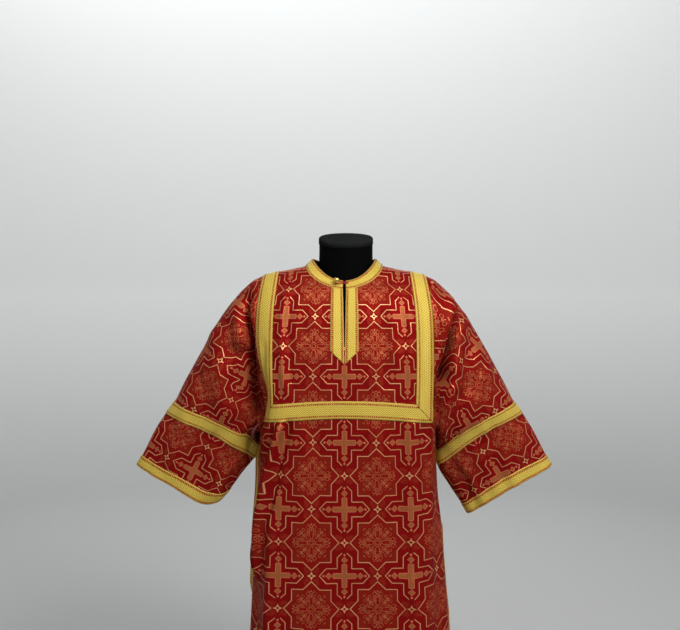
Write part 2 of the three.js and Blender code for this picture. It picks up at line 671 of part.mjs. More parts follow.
function makeSleeveNet(side) {
  const net = new Net();
  const loop = armholeLoop(side);
  const count = loop.length;
  const top = loop[0];
  const bottomNumber = loop.findIndex((p) => p.y === 0 && p.z < top.z - 100);
  const bottom = loop[bottomNumber];
  // The armhole's point for each column, as a share of the way down and a distance to the side of that line.
  const seam = loop.map((p) => {
    const share = (top.z - p.z) / (top.z - bottom.z);
    return { share, aside: p.x - lerp(top.x, bottom.x, share), y: p.y };
  });
  const rings = [loop];
  for (const section of SLEEVE_SECTIONS) {
    const tuck = side < 0 ? 1 - RIGHT_SLEEVE_TUCK * (1 - smoothstep(section.lens, 0.7, 1)) : 1;
    const outer = { x: side * section.outerX, z: section.outerZ };
    const inner = { x: side * section.innerX * tuck, z: section.innerZ };
    rings.push(
      seam.map((at, i) => {
        const turn = i <= bottomNumber ? i / bottomNumber : (count - i) / (count - bottomNumber);
        const lensShare = (1 - Math.cos(Math.PI * turn)) / 2;
        const share = lerp(at.share, lensShare, section.lens);
        const lensY = section.depth * Math.sin(Math.PI * turn) * (i <= bottomNumber ? -1 : 1);
        const x = lerp(outer.x, inner.x, share) + at.aside * (1 - section.lens);
        const z = lerp(outer.z, inner.z, share);
        let y = lerp(at.y, lensY, section.lens);
        if (Math.abs(y) > 1) y += Math.sign(y) * creaseDepth(x, z, side) * clamp(Math.abs(y) / 30, 0, 1);
        return new THREE.Vector3(x, y, z);
      }),
    );
  }
  rings.forEach((ring, r) => {
    if (!r) return;
    ring.forEach((_, i) => {
      const j = (i + 1) % count;
      const corners = [rings[r - 1][i], ring[i], ring[j], rings[r - 1][j]].map((p) => net.add(p));
      net.cell(corners, side > 0, { section: r - 1 });
    });
  });
  net.findNormals();
  const start = new Map();
  loop.forEach((p) => {
    const n = net.add(p);
    const bodyNormal = body.normals[body.add(p)];
    // Where the panel turns back, the sleeve also has to clear the galloon that stands out sideways.
    const turned = Math.abs(bodyNormal.x);
    const bodyReach = turned * lerp(CLOTH / 2, trimFrom + GALLOON + GAP, turned ** 3);
    const reach = bodyReach + (CLOTH / 2) * Math.abs(net.normals[n].x);
    start.set(n, new THREE.Vector3(side * (GAP + reach), 0, 0));
  });
  net.start = (n) => start.get(n) ?? null;
  return net;
}

const sleeveTrim = (net, section) =>
  wall(net, net.cells.filter((cell) => cell.section === section), trimFrom, trimFrom + GALLOON);

/** A closed body through level rings of points that go round anticlockwise seen from above. */
function loft(rings) {
  const points = rings.flat();
  const size = rings[0].length;
  const faces = [];
  for (let r = 0; r < rings.length - 1; r++) {
    for (let i = 0; i < size; i++) {
      const j = (i + 1) % size;
      const [a, b, c, d] = [r * size + i, r * size + j, (r + 1) * size + j, (r + 1) * size + i];
      faces.push([a, b, c], [a, c, d]);
    }
  }
  for (const [ring, up] of [[0, false], [rings.length - 1, true]]) {
    const centre = rings[ring].reduce((sum, p) => sum.add(p), new THREE.Vector3()).divideScalar(size);
    points.push(centre);
    for (let i = 0; i < size; i++) {
      const [a, b] = [ring * size + i, ring * size + ((i + 1) % size)];
      faces.push(up ? [a, b, points.length - 1] : [b, a, points.length - 1]);
    }
  }
  return solidFrom(points, faces);
}

/** Distance from the axis to a superellipse in the direction of an angle; the front is towards -Y. */
function reachOf(angle, half, front, back, square) {
  const across = Math.abs(Math.cos(angle)) / half;
  const deep = Math.abs(Math.sin(angle)) / (Math.sin(angle) < 0 ? front : back);
  return (across ** square + deep ** square) ** (-1 / square);
}

/** Lifts a point of the neck's top so that the top leans forward. */
const leanNeck = (point, share) => {
  point.z += point.y * Math.tan(NECK_TILT) * share;
  return point;
};

function formTorso() {
  const shoulderLevels = [1418, 1428, 1435, 1440, 1445, 1450, 1455, 1460, 1466, 1472];
  const neckLevels = [NECK.rootZ + 8, NECK.rootZ + NECK.flareHeight, NECK_TOP_Z];
  const levels = [...FORM_RINGS.map((ring) => ring.z), ...shoulderLevels, ...neckLevels];
  const lastRing = FORM_RINGS[FORM_RINGS.length - 1];
  const rings = levels.map((z) =>
    Array.from({ length: FORM_FACETS }, (_, i) => {
      const angle = (2 * Math.PI * (i + 0.5)) / FORM_FACETS;
      let reach = 0;
      if (z <= lastRing.z) {
        const [half, front, back] = ["half", "front", "back"].map((name) => readTable(FORM_RINGS, name, z));
        reach = reachOf(angle, half, front, back, 2.4);
      } else {
        const ring = ringAt(z + FORM_DROP, 1);
        const half = Math.min(ring.half - FORM_EASE, lastRing.half);
        if (ring.front > 4) reach = reachOf(angle, half, ring.front - FORM_EASE, ring.back - FORM_EASE, 2.5);
        const flare = NECK.rootFlare * (1 - smoothstep(z, NECK.rootZ, NECK.rootZ + NECK.flareHeight));
        const neck = reachOf(angle, NECK.half + flare, NECK.front, NECK.back, 2);
        reach = Math.max(reach, neck);
      }
      const point = new THREE.Vector3(reach * Math.cos(angle), reach * Math.sin(angle), z);
      return leanNeck(point, smoothstep(z, NECK.rootZ + NECK.flareHeight, NECK_TOP_Z));
    }),
  );
  return loft(rings);
}

function formNeckCap() {
  const outline = [
    { up: GAP, out: CAP.overhang },
    { up: CAP.height - CAP.round, out: CAP.overhang },
    { up: CAP.height - 0.3 * CAP.round, out: CAP.overhang - 0.3 * CAP.round },
    { up: CAP.height, out: CAP.overhang - CAP.round },
  ];
  const rings = outline.map(({ up, out }) =>
    Array.from({ length: FORM_FACETS }, (_, i) => {
      const angle = (2 * Math.PI * (i + 0.5)) / FORM_FACETS;
      const reach = reachOf(angle, NECK.half + out, NECK.front + out, NECK.back + out, 2);
      const point = new THREE.Vector3(reach * Math.cos(angle), reach * Math.sin(angle), NECK_TOP_Z + up);
      return leanNeck(point, 1);
    }),
  );
  return loft(rings);
}

/** A turned solid standing on the Z axis, from its outline as pairs of radius and height. */
function turned(outline, segments) {
  const geometry = new THREE.LatheGeometry(outline.map(([r, h]) => new THREE.Vector2(r, h)), segments);
  return geometry.rotateX(Math.PI / 2);
}

function standBase() {
  const { radius, edge, crown } = BASE;
  return turned([[0, 0], [radius, 0], [radius, edge], [60, crown], [0, crown]], 48);
}

function standPole() {
  const low = BASE.crown + GAP;
  const high = FORM_RINGS[0].z - GAP;
  return turned([[0, low], [POLE_RADIUS, low], [POLE_RADIUS, high], [0, high]], 24);
}

/** Where the button is sewn, and the direction in which it stands off the band. */
function buttonSeat() {
  const at = surfacePoint("front", BUTTON.x, BUTTON.z, false);
  const step = 4;
  const up = surfacePoint("front", BUTTON.x, BUTTON.z + step, false).sub(surfacePoint("front", BUTTON.x, BUTTON.z - step, false));
  const along = surfacePoint("front", BUTTON.x + step, BUTTON.z, false).sub(surfacePoint("front", BUTTON.x - step, BUTTON.z, false));
  const out = along.cross(up).normalize();
  return { at: at.addScaledVector(out, trimFrom + GALLOON + GAP), out };
}

function button({ at, out }) {
  const { radius, shank, stand } = BUTTON;
  const outline = [[0, 0], [shank, 0], [shank, stand]];
  const steps = 8;
  const low = Math.asin(shank / radius);
  for (let i = 0; i <= steps; i++) {
    const angle = lerp(low, Math.PI, i / steps);
    outline.push([radius * Math.sin(angle), stand + radius * (Math.cos(low) - Math.cos(angle))]);
  }
  outline[outline.length - 1][0] = 0;
  const geometry = new THREE.LatheGeometry(outline.map(([r, h]) => new THREE.Vector2(r, h)), 20);
  geometry.applyQuaternion(new THREE.Quaternion().setFromUnitVectors(new THREE.Vector3(0, 1, 0), out));
  return geometry.translate(at.x, at.y, at.z);
}

/** A cord loop from the left neck band's edge round the button's shank and back. */
function buttonLoop({ at, out }) {
  const up = new THREE.Vector3(0, 0, 1).addScaledVector(out, -out.z).normalize();
  const across = up.clone().cross(out).normalize();
  const rise = LOOP_RADIUS + 1.2 * GAP;
  const round = BUTTON.shank + LOOP_RADIUS + 1.2 * GAP;
  const run = Math.abs(BUTTON.x) + SLIT_HALF.top + 6;
  const place = (along, aside) =>
    at.clone().addScaledVector(out, rise).addScaledVector(across, along).addScaledVector(up, aside);
  const path = [place(run, 1.4), place(run * 0.6, 1.9), place(run * 0.25, 2.8)];
  for (let i = 0; i <= 6; i++) {
    const angle = Math.PI / 2 + (Math.PI * i) / 6;
    path.push(place(round * Math.cos(angle), round * Math.sin(angle)));
  }
  path.push(place(run * 0.25, -2.8), place(run * 0.6, -1.9), place(run, -1.4));
  const section = new THREE.Shape();
  for (let i = 0; i < 8; i++) {
    const angle = (Math.PI * i) / 4;
    const corner = [LOOP_RADIUS * Math.cos(angle), LOOP_RADIUS * Math.sin(angle)];
    if (i) section.lineTo(...corner);
    else section.moveTo(...corner);
  }
  return new THREE.ExtrudeGeometry(section, {
    extrudePath: new THREE.CatmullRomCurve3(path),
    steps: 44,
    bevelEnabled: false,
  });
}

const finish = (color, roughness, metalness = 0) =>
  new THREE.MeshStandardMaterial({ color, roughness, metalness });
const finishes = {
  brocade: finish(0xa5181f, 0.55),
  galloon: finish(0xd8b93c, 0.4, 0.4),
  form: finish(0x101012, 0.7),
  cap: finish(0x1b1d1e, 0.5),
  metal: finish(0x18181a, 0.4, 0.6),
  gilt: finish(0xd9b548, 0.25, 1),
  cord: finish(0xb3141c, 0.6),
};

const sticharion = new THREE.Group();
sticharion.name = "sticharion_on_dress_form";

function put(name, geometry, material) {
  const mesh = new THREE.Mesh(geometry, material);
  mesh.name = name;
  sticharion.add(mesh);
}
const wear = (name, geometry, material) => put(name, geometry.translate(GARMENT_X, 0, 0), material);

put("stand_base", standBase(), finishes.metal);
put("stand_pole", standPole(), finishes.metal);
put("form_torso", formTorso(), finishes.form);
put("form_neck_cap", formNeckCap(), finishes.cap);

for (const face of ["front", "back"]) {
  wear(face, panel(face), finishes.brocade);
  wear(`yoke_band_${face}`, trim(yokeCells(face, false), mitreShift(face)), finishes.galloon);
  wear(`hem_band_${face}`, trim(hemCells(face), seamShift(face)), finishes.galloon);
}
wear("neck_band_back", trim(neckBandCells("back", 0), seamShift("back")), finishes.galloon);

for (const [name, side] of [["right", -1], ["left", 1]]) {
  const sleeve = makeSleeveNet(side);
  wear(`sleeve_${name}`, wall(sleeve, sleeve.cells, -CLOTH / 2, CLOTH / 2, sleeve.start), finishes.brocade);
  wear(`sleeve_band_${name}`, sleeveTrim(sleeve, MID_BAND_SECTION), finishes.galloon);
  wear(`cuff_band_${name}`, sleeveTrim(sleeve, CUFF_BAND_SECTION), finishes.galloon);
  wear(`yoke_band_${name}`, trim(sideBandOver(side)), finishes.galloon);
  wear(`side_band_${name}`, trim(sideSeamCells(side), aboveHemShift), finishes.galloon);
  wear(`neck_band_front_${name}`, trim(neckBandCells("front", side), seamShift("front")), finishes.galloon);
  wear(`placket_band_${name}`, trim(placketCells(side), placketShift(side)), finishes.galloon);
}

const seat = buttonSeat();
wear("button", button(seat), finishes.gilt);
wear("button_loop", buttonLoop(seat), finishes.cord);

export default sticharion;
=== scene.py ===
"""Looks of a brocade sticharion on its dress form: cloth, galloon, button, form, stand and studio."""

import json
import math

import bmesh
import bpy
import numpy as np
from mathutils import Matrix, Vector

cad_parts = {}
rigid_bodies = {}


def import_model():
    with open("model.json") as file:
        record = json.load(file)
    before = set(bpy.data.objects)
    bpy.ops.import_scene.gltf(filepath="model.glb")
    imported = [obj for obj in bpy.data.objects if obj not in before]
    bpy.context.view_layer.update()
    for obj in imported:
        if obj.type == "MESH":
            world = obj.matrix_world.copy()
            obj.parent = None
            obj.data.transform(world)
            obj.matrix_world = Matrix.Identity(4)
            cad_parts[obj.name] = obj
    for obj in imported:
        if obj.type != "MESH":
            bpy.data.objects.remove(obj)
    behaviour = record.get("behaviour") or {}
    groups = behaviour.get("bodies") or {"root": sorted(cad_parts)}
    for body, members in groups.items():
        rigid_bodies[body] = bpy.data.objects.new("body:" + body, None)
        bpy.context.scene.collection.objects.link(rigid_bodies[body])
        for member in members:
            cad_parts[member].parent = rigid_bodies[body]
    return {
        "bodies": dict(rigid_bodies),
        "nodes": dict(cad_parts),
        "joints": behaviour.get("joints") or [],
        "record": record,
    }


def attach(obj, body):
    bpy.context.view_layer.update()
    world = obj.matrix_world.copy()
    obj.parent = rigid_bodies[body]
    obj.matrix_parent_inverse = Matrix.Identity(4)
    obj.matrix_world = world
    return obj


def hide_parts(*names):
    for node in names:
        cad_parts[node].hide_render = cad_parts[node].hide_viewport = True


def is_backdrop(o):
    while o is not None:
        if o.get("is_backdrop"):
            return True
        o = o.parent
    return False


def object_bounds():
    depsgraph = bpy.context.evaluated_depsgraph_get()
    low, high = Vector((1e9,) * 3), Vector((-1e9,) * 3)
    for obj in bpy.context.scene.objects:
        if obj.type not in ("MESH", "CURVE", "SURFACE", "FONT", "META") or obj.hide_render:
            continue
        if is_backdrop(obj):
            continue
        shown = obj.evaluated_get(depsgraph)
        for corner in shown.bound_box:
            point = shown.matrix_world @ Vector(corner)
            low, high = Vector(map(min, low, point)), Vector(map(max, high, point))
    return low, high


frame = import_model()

cad_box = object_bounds()

# The garment's sizes are in millimetres, as it is cut; MM turns them into metres.
MM = 0.001
GARMENT_X = -4
CLOTH, GALLOON = 1.2, 1.0
TRIM_LIFT = CLOTH / 2 + 0.35
OUTWARD = {"front": -1, "back": 1}
SIDES = (("right", -1), ("left", 1))

# Camera: at the photograph's height and distance, tipped down a little
CAMERA_PLACE = (-0.014, -2.03, 1.451)
CAMERA_TIP = 3.0
LENS = 45.3

# Levels and half widths of the cut. A row is the height that a place on the cloth has before it sinks.
HEM, SHOULDER_ROW, BAND_ROW, NECK_ROW = 90, 1380, 1460, 1480
SHOULDER_X, SHOULDER_Z = 190, 1438
NECK_POINT_X, NECK_POINT_Z = 73, 1477
NECK_REACH = 90
NECK_SHARE = NECK_REACH / SHOULDER_X
NECK_DROP = {"front": 51, "back": 14}
BAND_LOW_Z = {"front": 1408, "back": 1445}
YOKE_ROW, ARMPIT_Z, CALM_ROW = 1159, 1068, 985
WIDE, NARROW = 40, 27
SLIT_END, SLIT_START, SLIT_TOP, SLIT_LOW, SLIT_MEASURE = 1279, 1426, 3.6, 0.8, 200
PLACKET_EDGE, PLACKET_SHOULDER, PLACKET_POINT = 0.155, 1270, 1241
PANEL_HALF, SIDE_BAND_HALF = 202, 21
YOKE_EDGE = 1 - WIDE / PANEL_HALF
CENTRE_DROP, SIDE_DROP = 14, 8

BODY_RINGS = {
    "z": [1477, 1476, 1473, 1468, 1461.5, 1453, 1446, 1438, 1426, 1408, 1380, 1340, 1300, 1250,
          1150, 1060, 950, 850, 740, 596, 350, 30],
    "half": [73, 74, 77, 82, 90, 125, 160, 190, 207, 215, 219, 221, 221, 220,
             217, 213, 217, 227, 234, 246, 264, 284],
    "front": [0, 9, 18, 27, 36, 44, 50, 57, 65, 81, 97, 110, 118, 126,
              133, 134, 136, 140, 145, 151, 164, 182],
    "back": [0, 15, 30, 44, 57, 67, 75, 82, 89, 97, 104, 110, 113, 114,
             113, 113, 116, 121, 128, 136, 153, 172],
    "edge": [190, 190, 190, 190, 190, 190, 190, 190, 192, 195, 198, 201, 202, 202,
             200, 198, 199, 202, 204, 206, 208, 210],
    "square": [2.6, 2.6, 2.6, 2.6, 2.6, 2.6, 2.6, 2.6, 2.8, 3.1, 3.6, 4.1, 4.4, 4.6,
               4.7, 4.4, 4, 3.7, 3.5, 3.2, 3, 2.8],
}
RIGHT_RINGS = {
    "z": [1438, 1380, 1300, 1240, 1165, 1120, 1070, 1000, 880, 760, 600, 30],
    "narrower": [0, 0, 7, 24, 43, 36, 18, 14, 16, 20, 25, 10],
    "square": [2.6, 3.6, 4.6, 6, 9, 7.5, 5, 4.1, 3.8, 3.5, 3.2, 2.8],
}

# Soft vertical folds: place across (0 centre, 1 yoke's edge, 2 side seam), width, depth at the hem, top
FOLDS = {
    "front": [(-1.5, 0.2, 14, 1000), (-1.13, 0.19, -18, 1080), (-0.83, 0.14, 17, 1110),
              (-0.4, 0.17, 13, 760), (0, 0.26, -13, 820), (0.42, 0.17, 12, 720),
              (0.84, 0.14, 15, 1130), (1.16, 0.19, -17, 1080), (1.52, 0.2, 15, 1000)],
    "back": [(-1.45, 0.2, 15, 1010), (-1.05, 0.19, -18, 1090), (-0.7, 0.16, 20, 1180),
             (-0.34, 0.15, -17, 1150), (0.02, 0.18, 18, 1120), (0.38, 0.15, -18, 1160),
             (0.74, 0.16, 19, 1170), (1.08, 0.19, -17, 1080), (1.47, 0.2, 15, 1000)],
}

# Creases of the body's cloth: places (across, row), depth outwards, width on the right and left of the line
BODY_CREASES = {
    "front": [
        ([(-0.69, 1120), (-0.76, 1080), (-0.81, 1045), (-0.87, 1000),
          (-0.93, 950), (-0.98, 880), (-1.02, 760)], 21, 8, 7),
        ([(-0.62, 1122), (-0.68, 1075), (-0.74, 1030), (-0.80, 970), (-0.85, 900)], -9, 8, 12),
        ([(-0.78, 960), (-0.83, 900), (-0.83, 780), (-0.86, 600)], 6, 9, 10),
        ([(-0.80, 1110), (-0.90, 1060), (-1.02, 1000), (-1.1, 900)], -9, 9, 7),
        ([(-0.69, 1410), (-0.71, 1330), (-0.70, 1250), (-0.67, 1180)], 5.5, 6, 8),
        ([(-0.61, 1400), (-0.62, 1320), (-0.60, 1230), (-0.57, 1175)], -3.5, 7, 9),
        ([(-0.90, 1300), (-0.92, 1240), (-0.93, 1190), (-0.90, 1125)], -5, 9, 8),
        ([(0.77, 1125), (0.75, 1050), (0.74, 940), (0.75, 700)], 5.5, 9, 11),
        ([(0.63, 1120), (0.62, 1040), (0.60, 880)], -3.5, 11, 9),
        ([(0.90, 1122), (0.91, 1020), (0.92, 860)], -5, 9, 9),
        ([(0.73, 1405), (0.74, 1320), (0.75, 1200)], 3, 8, 8),
        ([(0.90, 1390), (0.89, 1300), (0.90, 1180)], -2.5, 9, 9),
        ([(0.50, 1425), (0.55, 1340), (0.58, 1240)], 2.2, 13, 13),
        ([(-0.42, 1400), (-0.46, 1300), (-0.5, 1180)], -1.8, 16, 16),
        ([(0.40, 1360), (0.42, 1280), (0.46, 1180)], -1.6, 16, 16),
        ([(0.36, 1112), (0.34, 1040), (0.36, 900)], 2.2, 17, 17),
        ([(-0.33, 1112), (-0.27, 1020), (-0.3, 880)], -2.4, 18, 18),
        ([(-0.45, 1112), (-0.50, 1000), (-0.47, 820)], 2.6, 14, 14),
        ([(-1.91, 1100), (-1.92, 1020), (-1.91, 900), (-1.92, 700)], 8, 8, 10),
        ([(1.92, 880), (1.91, 700), (1.92, 300)], 7, 8, 10),
        ([(-0.75, 800), (-0.9, 600), (-0.95, 300)], 4.5, 24, 24),
        ([(0.7, 780), (0.84, 600), (0.92, 260)], 4.5, 24, 24),
        ([(-0.2, 760), (-0.12, 500), (-0.16, 200)], 3.5, 24, 24),
        ([(0.22, 700), (0.18, 500), (0.26, 180)], -3.5, 24, 24),
    ],
    "back": [
        ([(-0.86, 1120), (-0.9, 1040), (-0.92, 940)], 5, 10, 10),
        ([(0.86, 1120), (0.9, 1040), (0.93, 940)], 5, 10, 10),
        ([(-0.55, 1120), (-0.52, 1000), (-0.5, 820)], 4, 14, 14),
        ([(0.5, 1120), (0.54, 1000), (0.55, 800)], -4, 14, 14),
        ([(-0.15, 1120), (-0.12, 1020), (-0.1, 880)], -3.5, 14, 14),
        ([(0.2, 1120), (0.18, 1000), (0.15, 840)], 3.5, 14, 14),
        ([(-0.6, 1420), (-0.66, 1330), (-0.7, 1200)], 3, 13, 13),
        ([(0.6, 1420), (0.63, 1320), (0.68, 1200)], 3, 13, 13),
        ([(0.05, 1420), (-0.02, 1330), (0.02, 1200)], 2, 18, 18),
        ([(-0.8, 720), (-0.86, 500), (-0.95, 220)], 4.5, 24, 24),
        ([(0.8, 720), (0.86, 500), (0.95, 220)], 4.5, 24, 24),
    ],
}

# Sections across a sleeve from its armhole to the cuff: outer and inner end in the front view, lens share and
# half depth; bow lifts a section's middle, hang lets its lower part down
SLEEVE = {
    "at": [1, 2, 3, 4, 5, 6, 7, 8, 9, 10, 11, 12, 13],
    "outer_x": [212, 226, 243, 262, 284, 310, 342, 375, 403, 424, 452, 482, 496],
    "outer_z": [1428, 1417, 1401, 1379, 1350, 1309, 1252, 1194, 1140, 1112, 1068, 1010, 987],
    "inner_x_left": [217, 217, 217, 217.5, 217.5, 218, 218, 218, 219, 224, 250, 282, 296],
    "inner_z_left": [1060, 1056, 1052, 1048, 1044, 1040, 1036, 1032, 1026, 987, 941, 893, 870],
    "bow_left": [0, 0, 0, 0, 0, 2, 6, 10, 15, 21, 19, 17, 11],
    "hang_left": [0] * 13,
    "inner_x_right": [197, 196, 195, 194, 193, 193, 193, 194, 197, 216, 245, 272, 291],
    "inner_z_right": [1060, 1056, 1052, 1048, 1044, 1040, 1036, 1032, 1028, 1002, 967, 930, 907],
    "bow_right": [0, 0, 0, 0, 0, 2, 6, 10, 15, 16, 8, 0, 0],
    "hang_right": [0, 0, 0, 0, 0, 0, 0, 0, 0, 0, 20, 42, 50],
    "lens": [0.02, 0.05, 0.1, 0.15, 0.2, 0.27, 0.36, 0.5, 0.66, 0.8, 0.92, 1, 1],
    "depth": [60, 60, 60, 60, 60, 59, 57, 55, 52, 50, 47, 45, 44],
}
MID_BAND, CUFF_BAND = (9, 10), (12, 13)
SLEEVE_AXIS = (0.529, -0.849)

# How the brocade's repeat lies on each sleeve: each pattern measure from the cloth's two measures
SLEEVE_REPEAT = {
    1: ((1.06, 0.132, 1084.2), (0.027, 1.027, 967.7)),
    -1: ((1.078, 0.066, 1052.9), (0.067, 1.13, 1083.3)),
}

# Creases of each sleeve in the front view: places (x, z), depth outwards, width towards the body and away
SLEEVE_CREASES = {
    1: [
        ([(256, 1402), (248, 1372), (236, 1340), (226, 1303), (219, 1250), (215, 1190)], -72, 7, 24),
        ([(217, 1250), (213, 1200), (210, 1150), (208, 1090)], -34, 7, 13),
        ([(231, 1398), (227, 1360), (214, 1310), (207, 1270)], 9, 13, 9),
        ([(275, 1366), (260, 1325), (252, 1270), (242, 1200), (237, 1120)], 9, 9, 18),
        ([(300, 1320), (285, 1240), (276, 1160)], -6, 14, 22),
        ([(335, 1235), (312, 1170), (300, 1112)], 4, 14, 20),
        ([(262, 1180), (252, 1100), (248, 1050)], -8, 10, 14),
        ([(330, 1075), (352, 1030), (362, 975)], -5, 12, 12),
        ([(395, 1090), (420, 1040), (432, 1000)], 4, 14, 14),
        ([(270, 1010), (300, 960), (318, 905)], 5, 12, 14),
    ],
    -1: [
        ([(218, 1396), (218, 1368), (215, 1340), (208, 1299),
          (202, 1255), (197, 1207), (195, 1160), (194, 1110)], -44, 6, 20),
        ([(206, 1392), (206, 1350), (200, 1310)], 5, 8, 6),
        ([(232, 1280), (222, 1220), (212, 1150), (206, 1080), (206, 960)], -24, 18, 34),
        ([(242, 1380), (242, 1345), (238, 1290), (231, 1220), (227, 1150)], 5, 16, 24),
        ([(270, 1345), (264, 1290), (250, 1215), (243, 1140)], -6, 16, 24),
        ([(300, 1320), (292, 1240), (276, 1170), (262, 1100)], 5, 14, 22),
        ([(345, 1225), (322, 1175), (312, 1120)], -4, 14, 20),
        ([(232, 1120), (226, 1080), (224, 1045)], -7, 8, 14),
        ([(300, 1080), (322, 1030), (350, 960)], -6, 12, 14),
        ([(372, 1095), (398, 1045), (420, 985)], 5, 14, 14),
        ([(250, 1010), (282, 965), (300, 915)], 5, 12, 14),
    ],
}

# Cloth at the armhole that leans over the valley beside it: places, reach, width towards the body and away
SLEEVE_LEAN = {
    1: ([(243, 1400), (238, 1372), (227, 1340), (216, 1303), (208, 1262), (206, 1215)], 20, 15, 6),
    -1: ([(213, 1392), (212, 1360), (207, 1320), (200, 1280), (195, 1230), (192, 1180)], 8, 10, 5),
}

# The dress form's rings under its shoulders, its neck and cap, and its stand
FORM_RINGS = {
    "z": [750, 765, 820, 900, 980, 1050, 1150, 1250, 1340, 1400],
    "half": [168, 178, 180, 166, 158, 163, 172, 180, 180, 181],
    "front": [100, 108, 112, 110, 108, 112, 122, 119, 102, 82],
    "back": [98, 106, 108, 98, 90, 92, 101, 106, 101, 90],
}
FORM_LOW, FORM_SHOULDER, FORM_EASE, FORM_DROP = 750, 1400, 9, 6.6
NECK_HALF, NECK_FRONT, NECK_BACK = 63, 51, 46
NECK_TOP, NECK_TILT = 1513, math.radians(14)
CAP_RISE, CAP_ROUND, CAP_OVERHANG = 17, 6, 1.2
POLE_RADIUS, BASE_RADIUS, BASE_EDGE, BASE_CROWN, PIECE_GAP = 16, 185, 7, 13, 0.3

# The button's place on the neck band, its shank and ball, and half the cord loop's thickness
BUTTON_X, BUTTON_Z, SHANK, BUTTON_STAND, BUTTON_RADIUS, CORD = -17.5, 1420, 2, 3.2, 7, 0.95
BAND_BACK, BAND_WALL = 1.1, 1.2


def read(table, name, z, by="z"):
    """One column of a table at each z, by monotone cubic pieces."""
    order = np.argsort(table[by])
    xs, ys = np.array(table[by], float)[order], np.array(table[name], float)[order]
    step, slope = np.diff(xs), np.diff(ys) / np.diff(xs)
    before, after = slope[:-1], slope[1:]
    total = np.where(before + after == 0, 1, before + after)
    inside = np.where(before * after <= 0, 0, 2 * before * after / total)
    tangent = np.concatenate([[slope[0]], inside, [slope[-1]]])
    z = np.clip(z, xs[0], xs[-1])
    i = np.clip(np.searchsorted(xs, z, side="right") - 1, 0, len(step) - 1)
    t = (z - xs[i]) / step[i]
    return (ys[i] * (1 + 2 * t) * (1 - t) ** 2 + step[i] * tangent[i] * t * (1 - t) ** 2
            + ys[i + 1] * t * t * (3 - 2 * t) + step[i] * tangent[i + 1] * t * t * (t - 1))


def ease(x, low, high):
    """Smooth step from 0 at low to 1 at high."""
    t = np.clip((x - low) / (high - low), 0, 1)
    return t * t * (3 - 2 * t)


def mix(a, b, t):
    return a + (b - a) * t


def ripple(u, v, seed, waves, long_u, long_v):
    """Gentle unevenness: a few slow waves in fixed chosen directions, from -1 to 1."""
    chance = np.random.default_rng(seed)
    total = 0
    for _ in range(waves):
        turn, phase, size = chance.uniform(0, 2 * math.pi, 2).tolist() + [chance.uniform(0.7, 1.4)]
        way = u * math.cos(turn) / long_u + v * math.sin(turn) / long_v
        total = total + np.sin(way * 2 * math.pi * size + phase)
    return total / math.sqrt(waves) / 1.4


def run_along(points, axis):
    """Measured length of cloth from a grid's first row or column on, along that axis."""
    return np.insert(np.cumsum(np.linalg.norm(np.diff(points, axis=axis), axis=2), axis), 0, 0, axis)


ridge_z = np.linspace(SHOULDER_Z, NECK_POINT_Z, 300)
ridge_half = read(BODY_RINGS, "half", ridge_z)


def shoulder_ridge(x):
    return np.interp(x, ridge_half[::-1], ridge_z[::-1])


def ring_at(face, z, right):
    half, square = read(BODY_RINGS, "half", z), read(BODY_RINGS, "square", z)
    low = right & (z < SHOULDER_Z)
    half = half - np.where(low, read(RIGHT_RINGS, "narrower", z), 0)
    square = np.where(low, read(RIGHT_RINGS, "square", z), square)
    return half, read(BODY_RINGS, face, z), square


def ring_depth(face, x, z, right):
    half, depth, square = ring_at(face, z, right)
    return depth * (1 - np.minimum(1, np.abs(x) / half) ** square) ** (1 / square)


def quarter(half, depth, square):
    """Points of a quarter ring from the centre to the side, with the length of cloth up to each."""
    angle = np.linspace(0, math.pi / 2, 90)
    x = half[:, None] * np.sin(angle) ** (2 / square[:, None])
    y = depth[:, None] * np.maximum(0, np.cos(angle)) ** (2 / square[:, None])
    length = np.concatenate([np.zeros((len(half), 1)), np.cumsum(np.hypot(np.diff(x), np.diff(y)), 1)], 1)
    return x, y, length


def along_quarter(points, measure, value):
    measured = points[measure]
    i = np.clip((measured < value[:, None]).sum(1), 1, measured.shape[1] - 1)
    rows = np.arange(len(value))
    low, high = measured[rows, i - 1], measured[rows, i]
    t = np.clip((value - low) / np.where(high == low, 1, high - low), 0, 1)
    return [mix(part[rows, i - 1], part[rows, i], t) for part in points]


def round_body(face, across, z):
    """x and y of the body's cloth, before folds, and the length of cloth from the centre."""
    right = across < 0
    share = np.abs(across)
    none = np.zeros_like(right)
    left = quarter(*ring_at(face, z, none))
    edge = read(BODY_RINGS, "edge", z)
    at_left = along_quarter(left, 0, np.minimum(share, 1) * edge)
    own = quarter(*ring_at(face, z, right))
    end = own[2][:, -1]
    beyond = np.clip(share - 1, 0, 1)
    band = end - SIDE_BAND_HALF
    split = 5 / 6
    side_length = np.where(beyond <= split, mix(at_left[2], band, beyond / split),
                           mix(band, end, (beyond - split) / (1 - split)))
    x, y, length = along_quarter(own, 2, np.where(share <= 1, at_left[2], side_length))
    straight = (share <= 1) & ~right
    x, y = np.where(straight, at_left[0], x), np.where(straight, at_left[1], y)
    y = np.where(share >= 2, 0, y)
    return x * np.where(right, -1, 1), y * OUTWARD[face], length


def fold_out(face, x, y, across, z):
    right = across < 0
    out = 0
    for at, width, depth, top in FOLDS[face]:
        drop = np.clip((top - z) / (top - HEM), 0, 1.1)
        out = out + depth * drop ** 1.2 * np.exp(-(((across - at) / width) ** 2))
    half, deep, square = ring_at(face, z, right)
    nx = np.sign(x) * (np.abs(x) / half) ** (square - 1) / half
    ny = np.sign(y) * (np.abs(y) / deep) ** (square - 1) / deep
    length = np.maximum(1e-9, np.hypot(nx, ny))
    return x + out * nx / length, y + out * ny / length


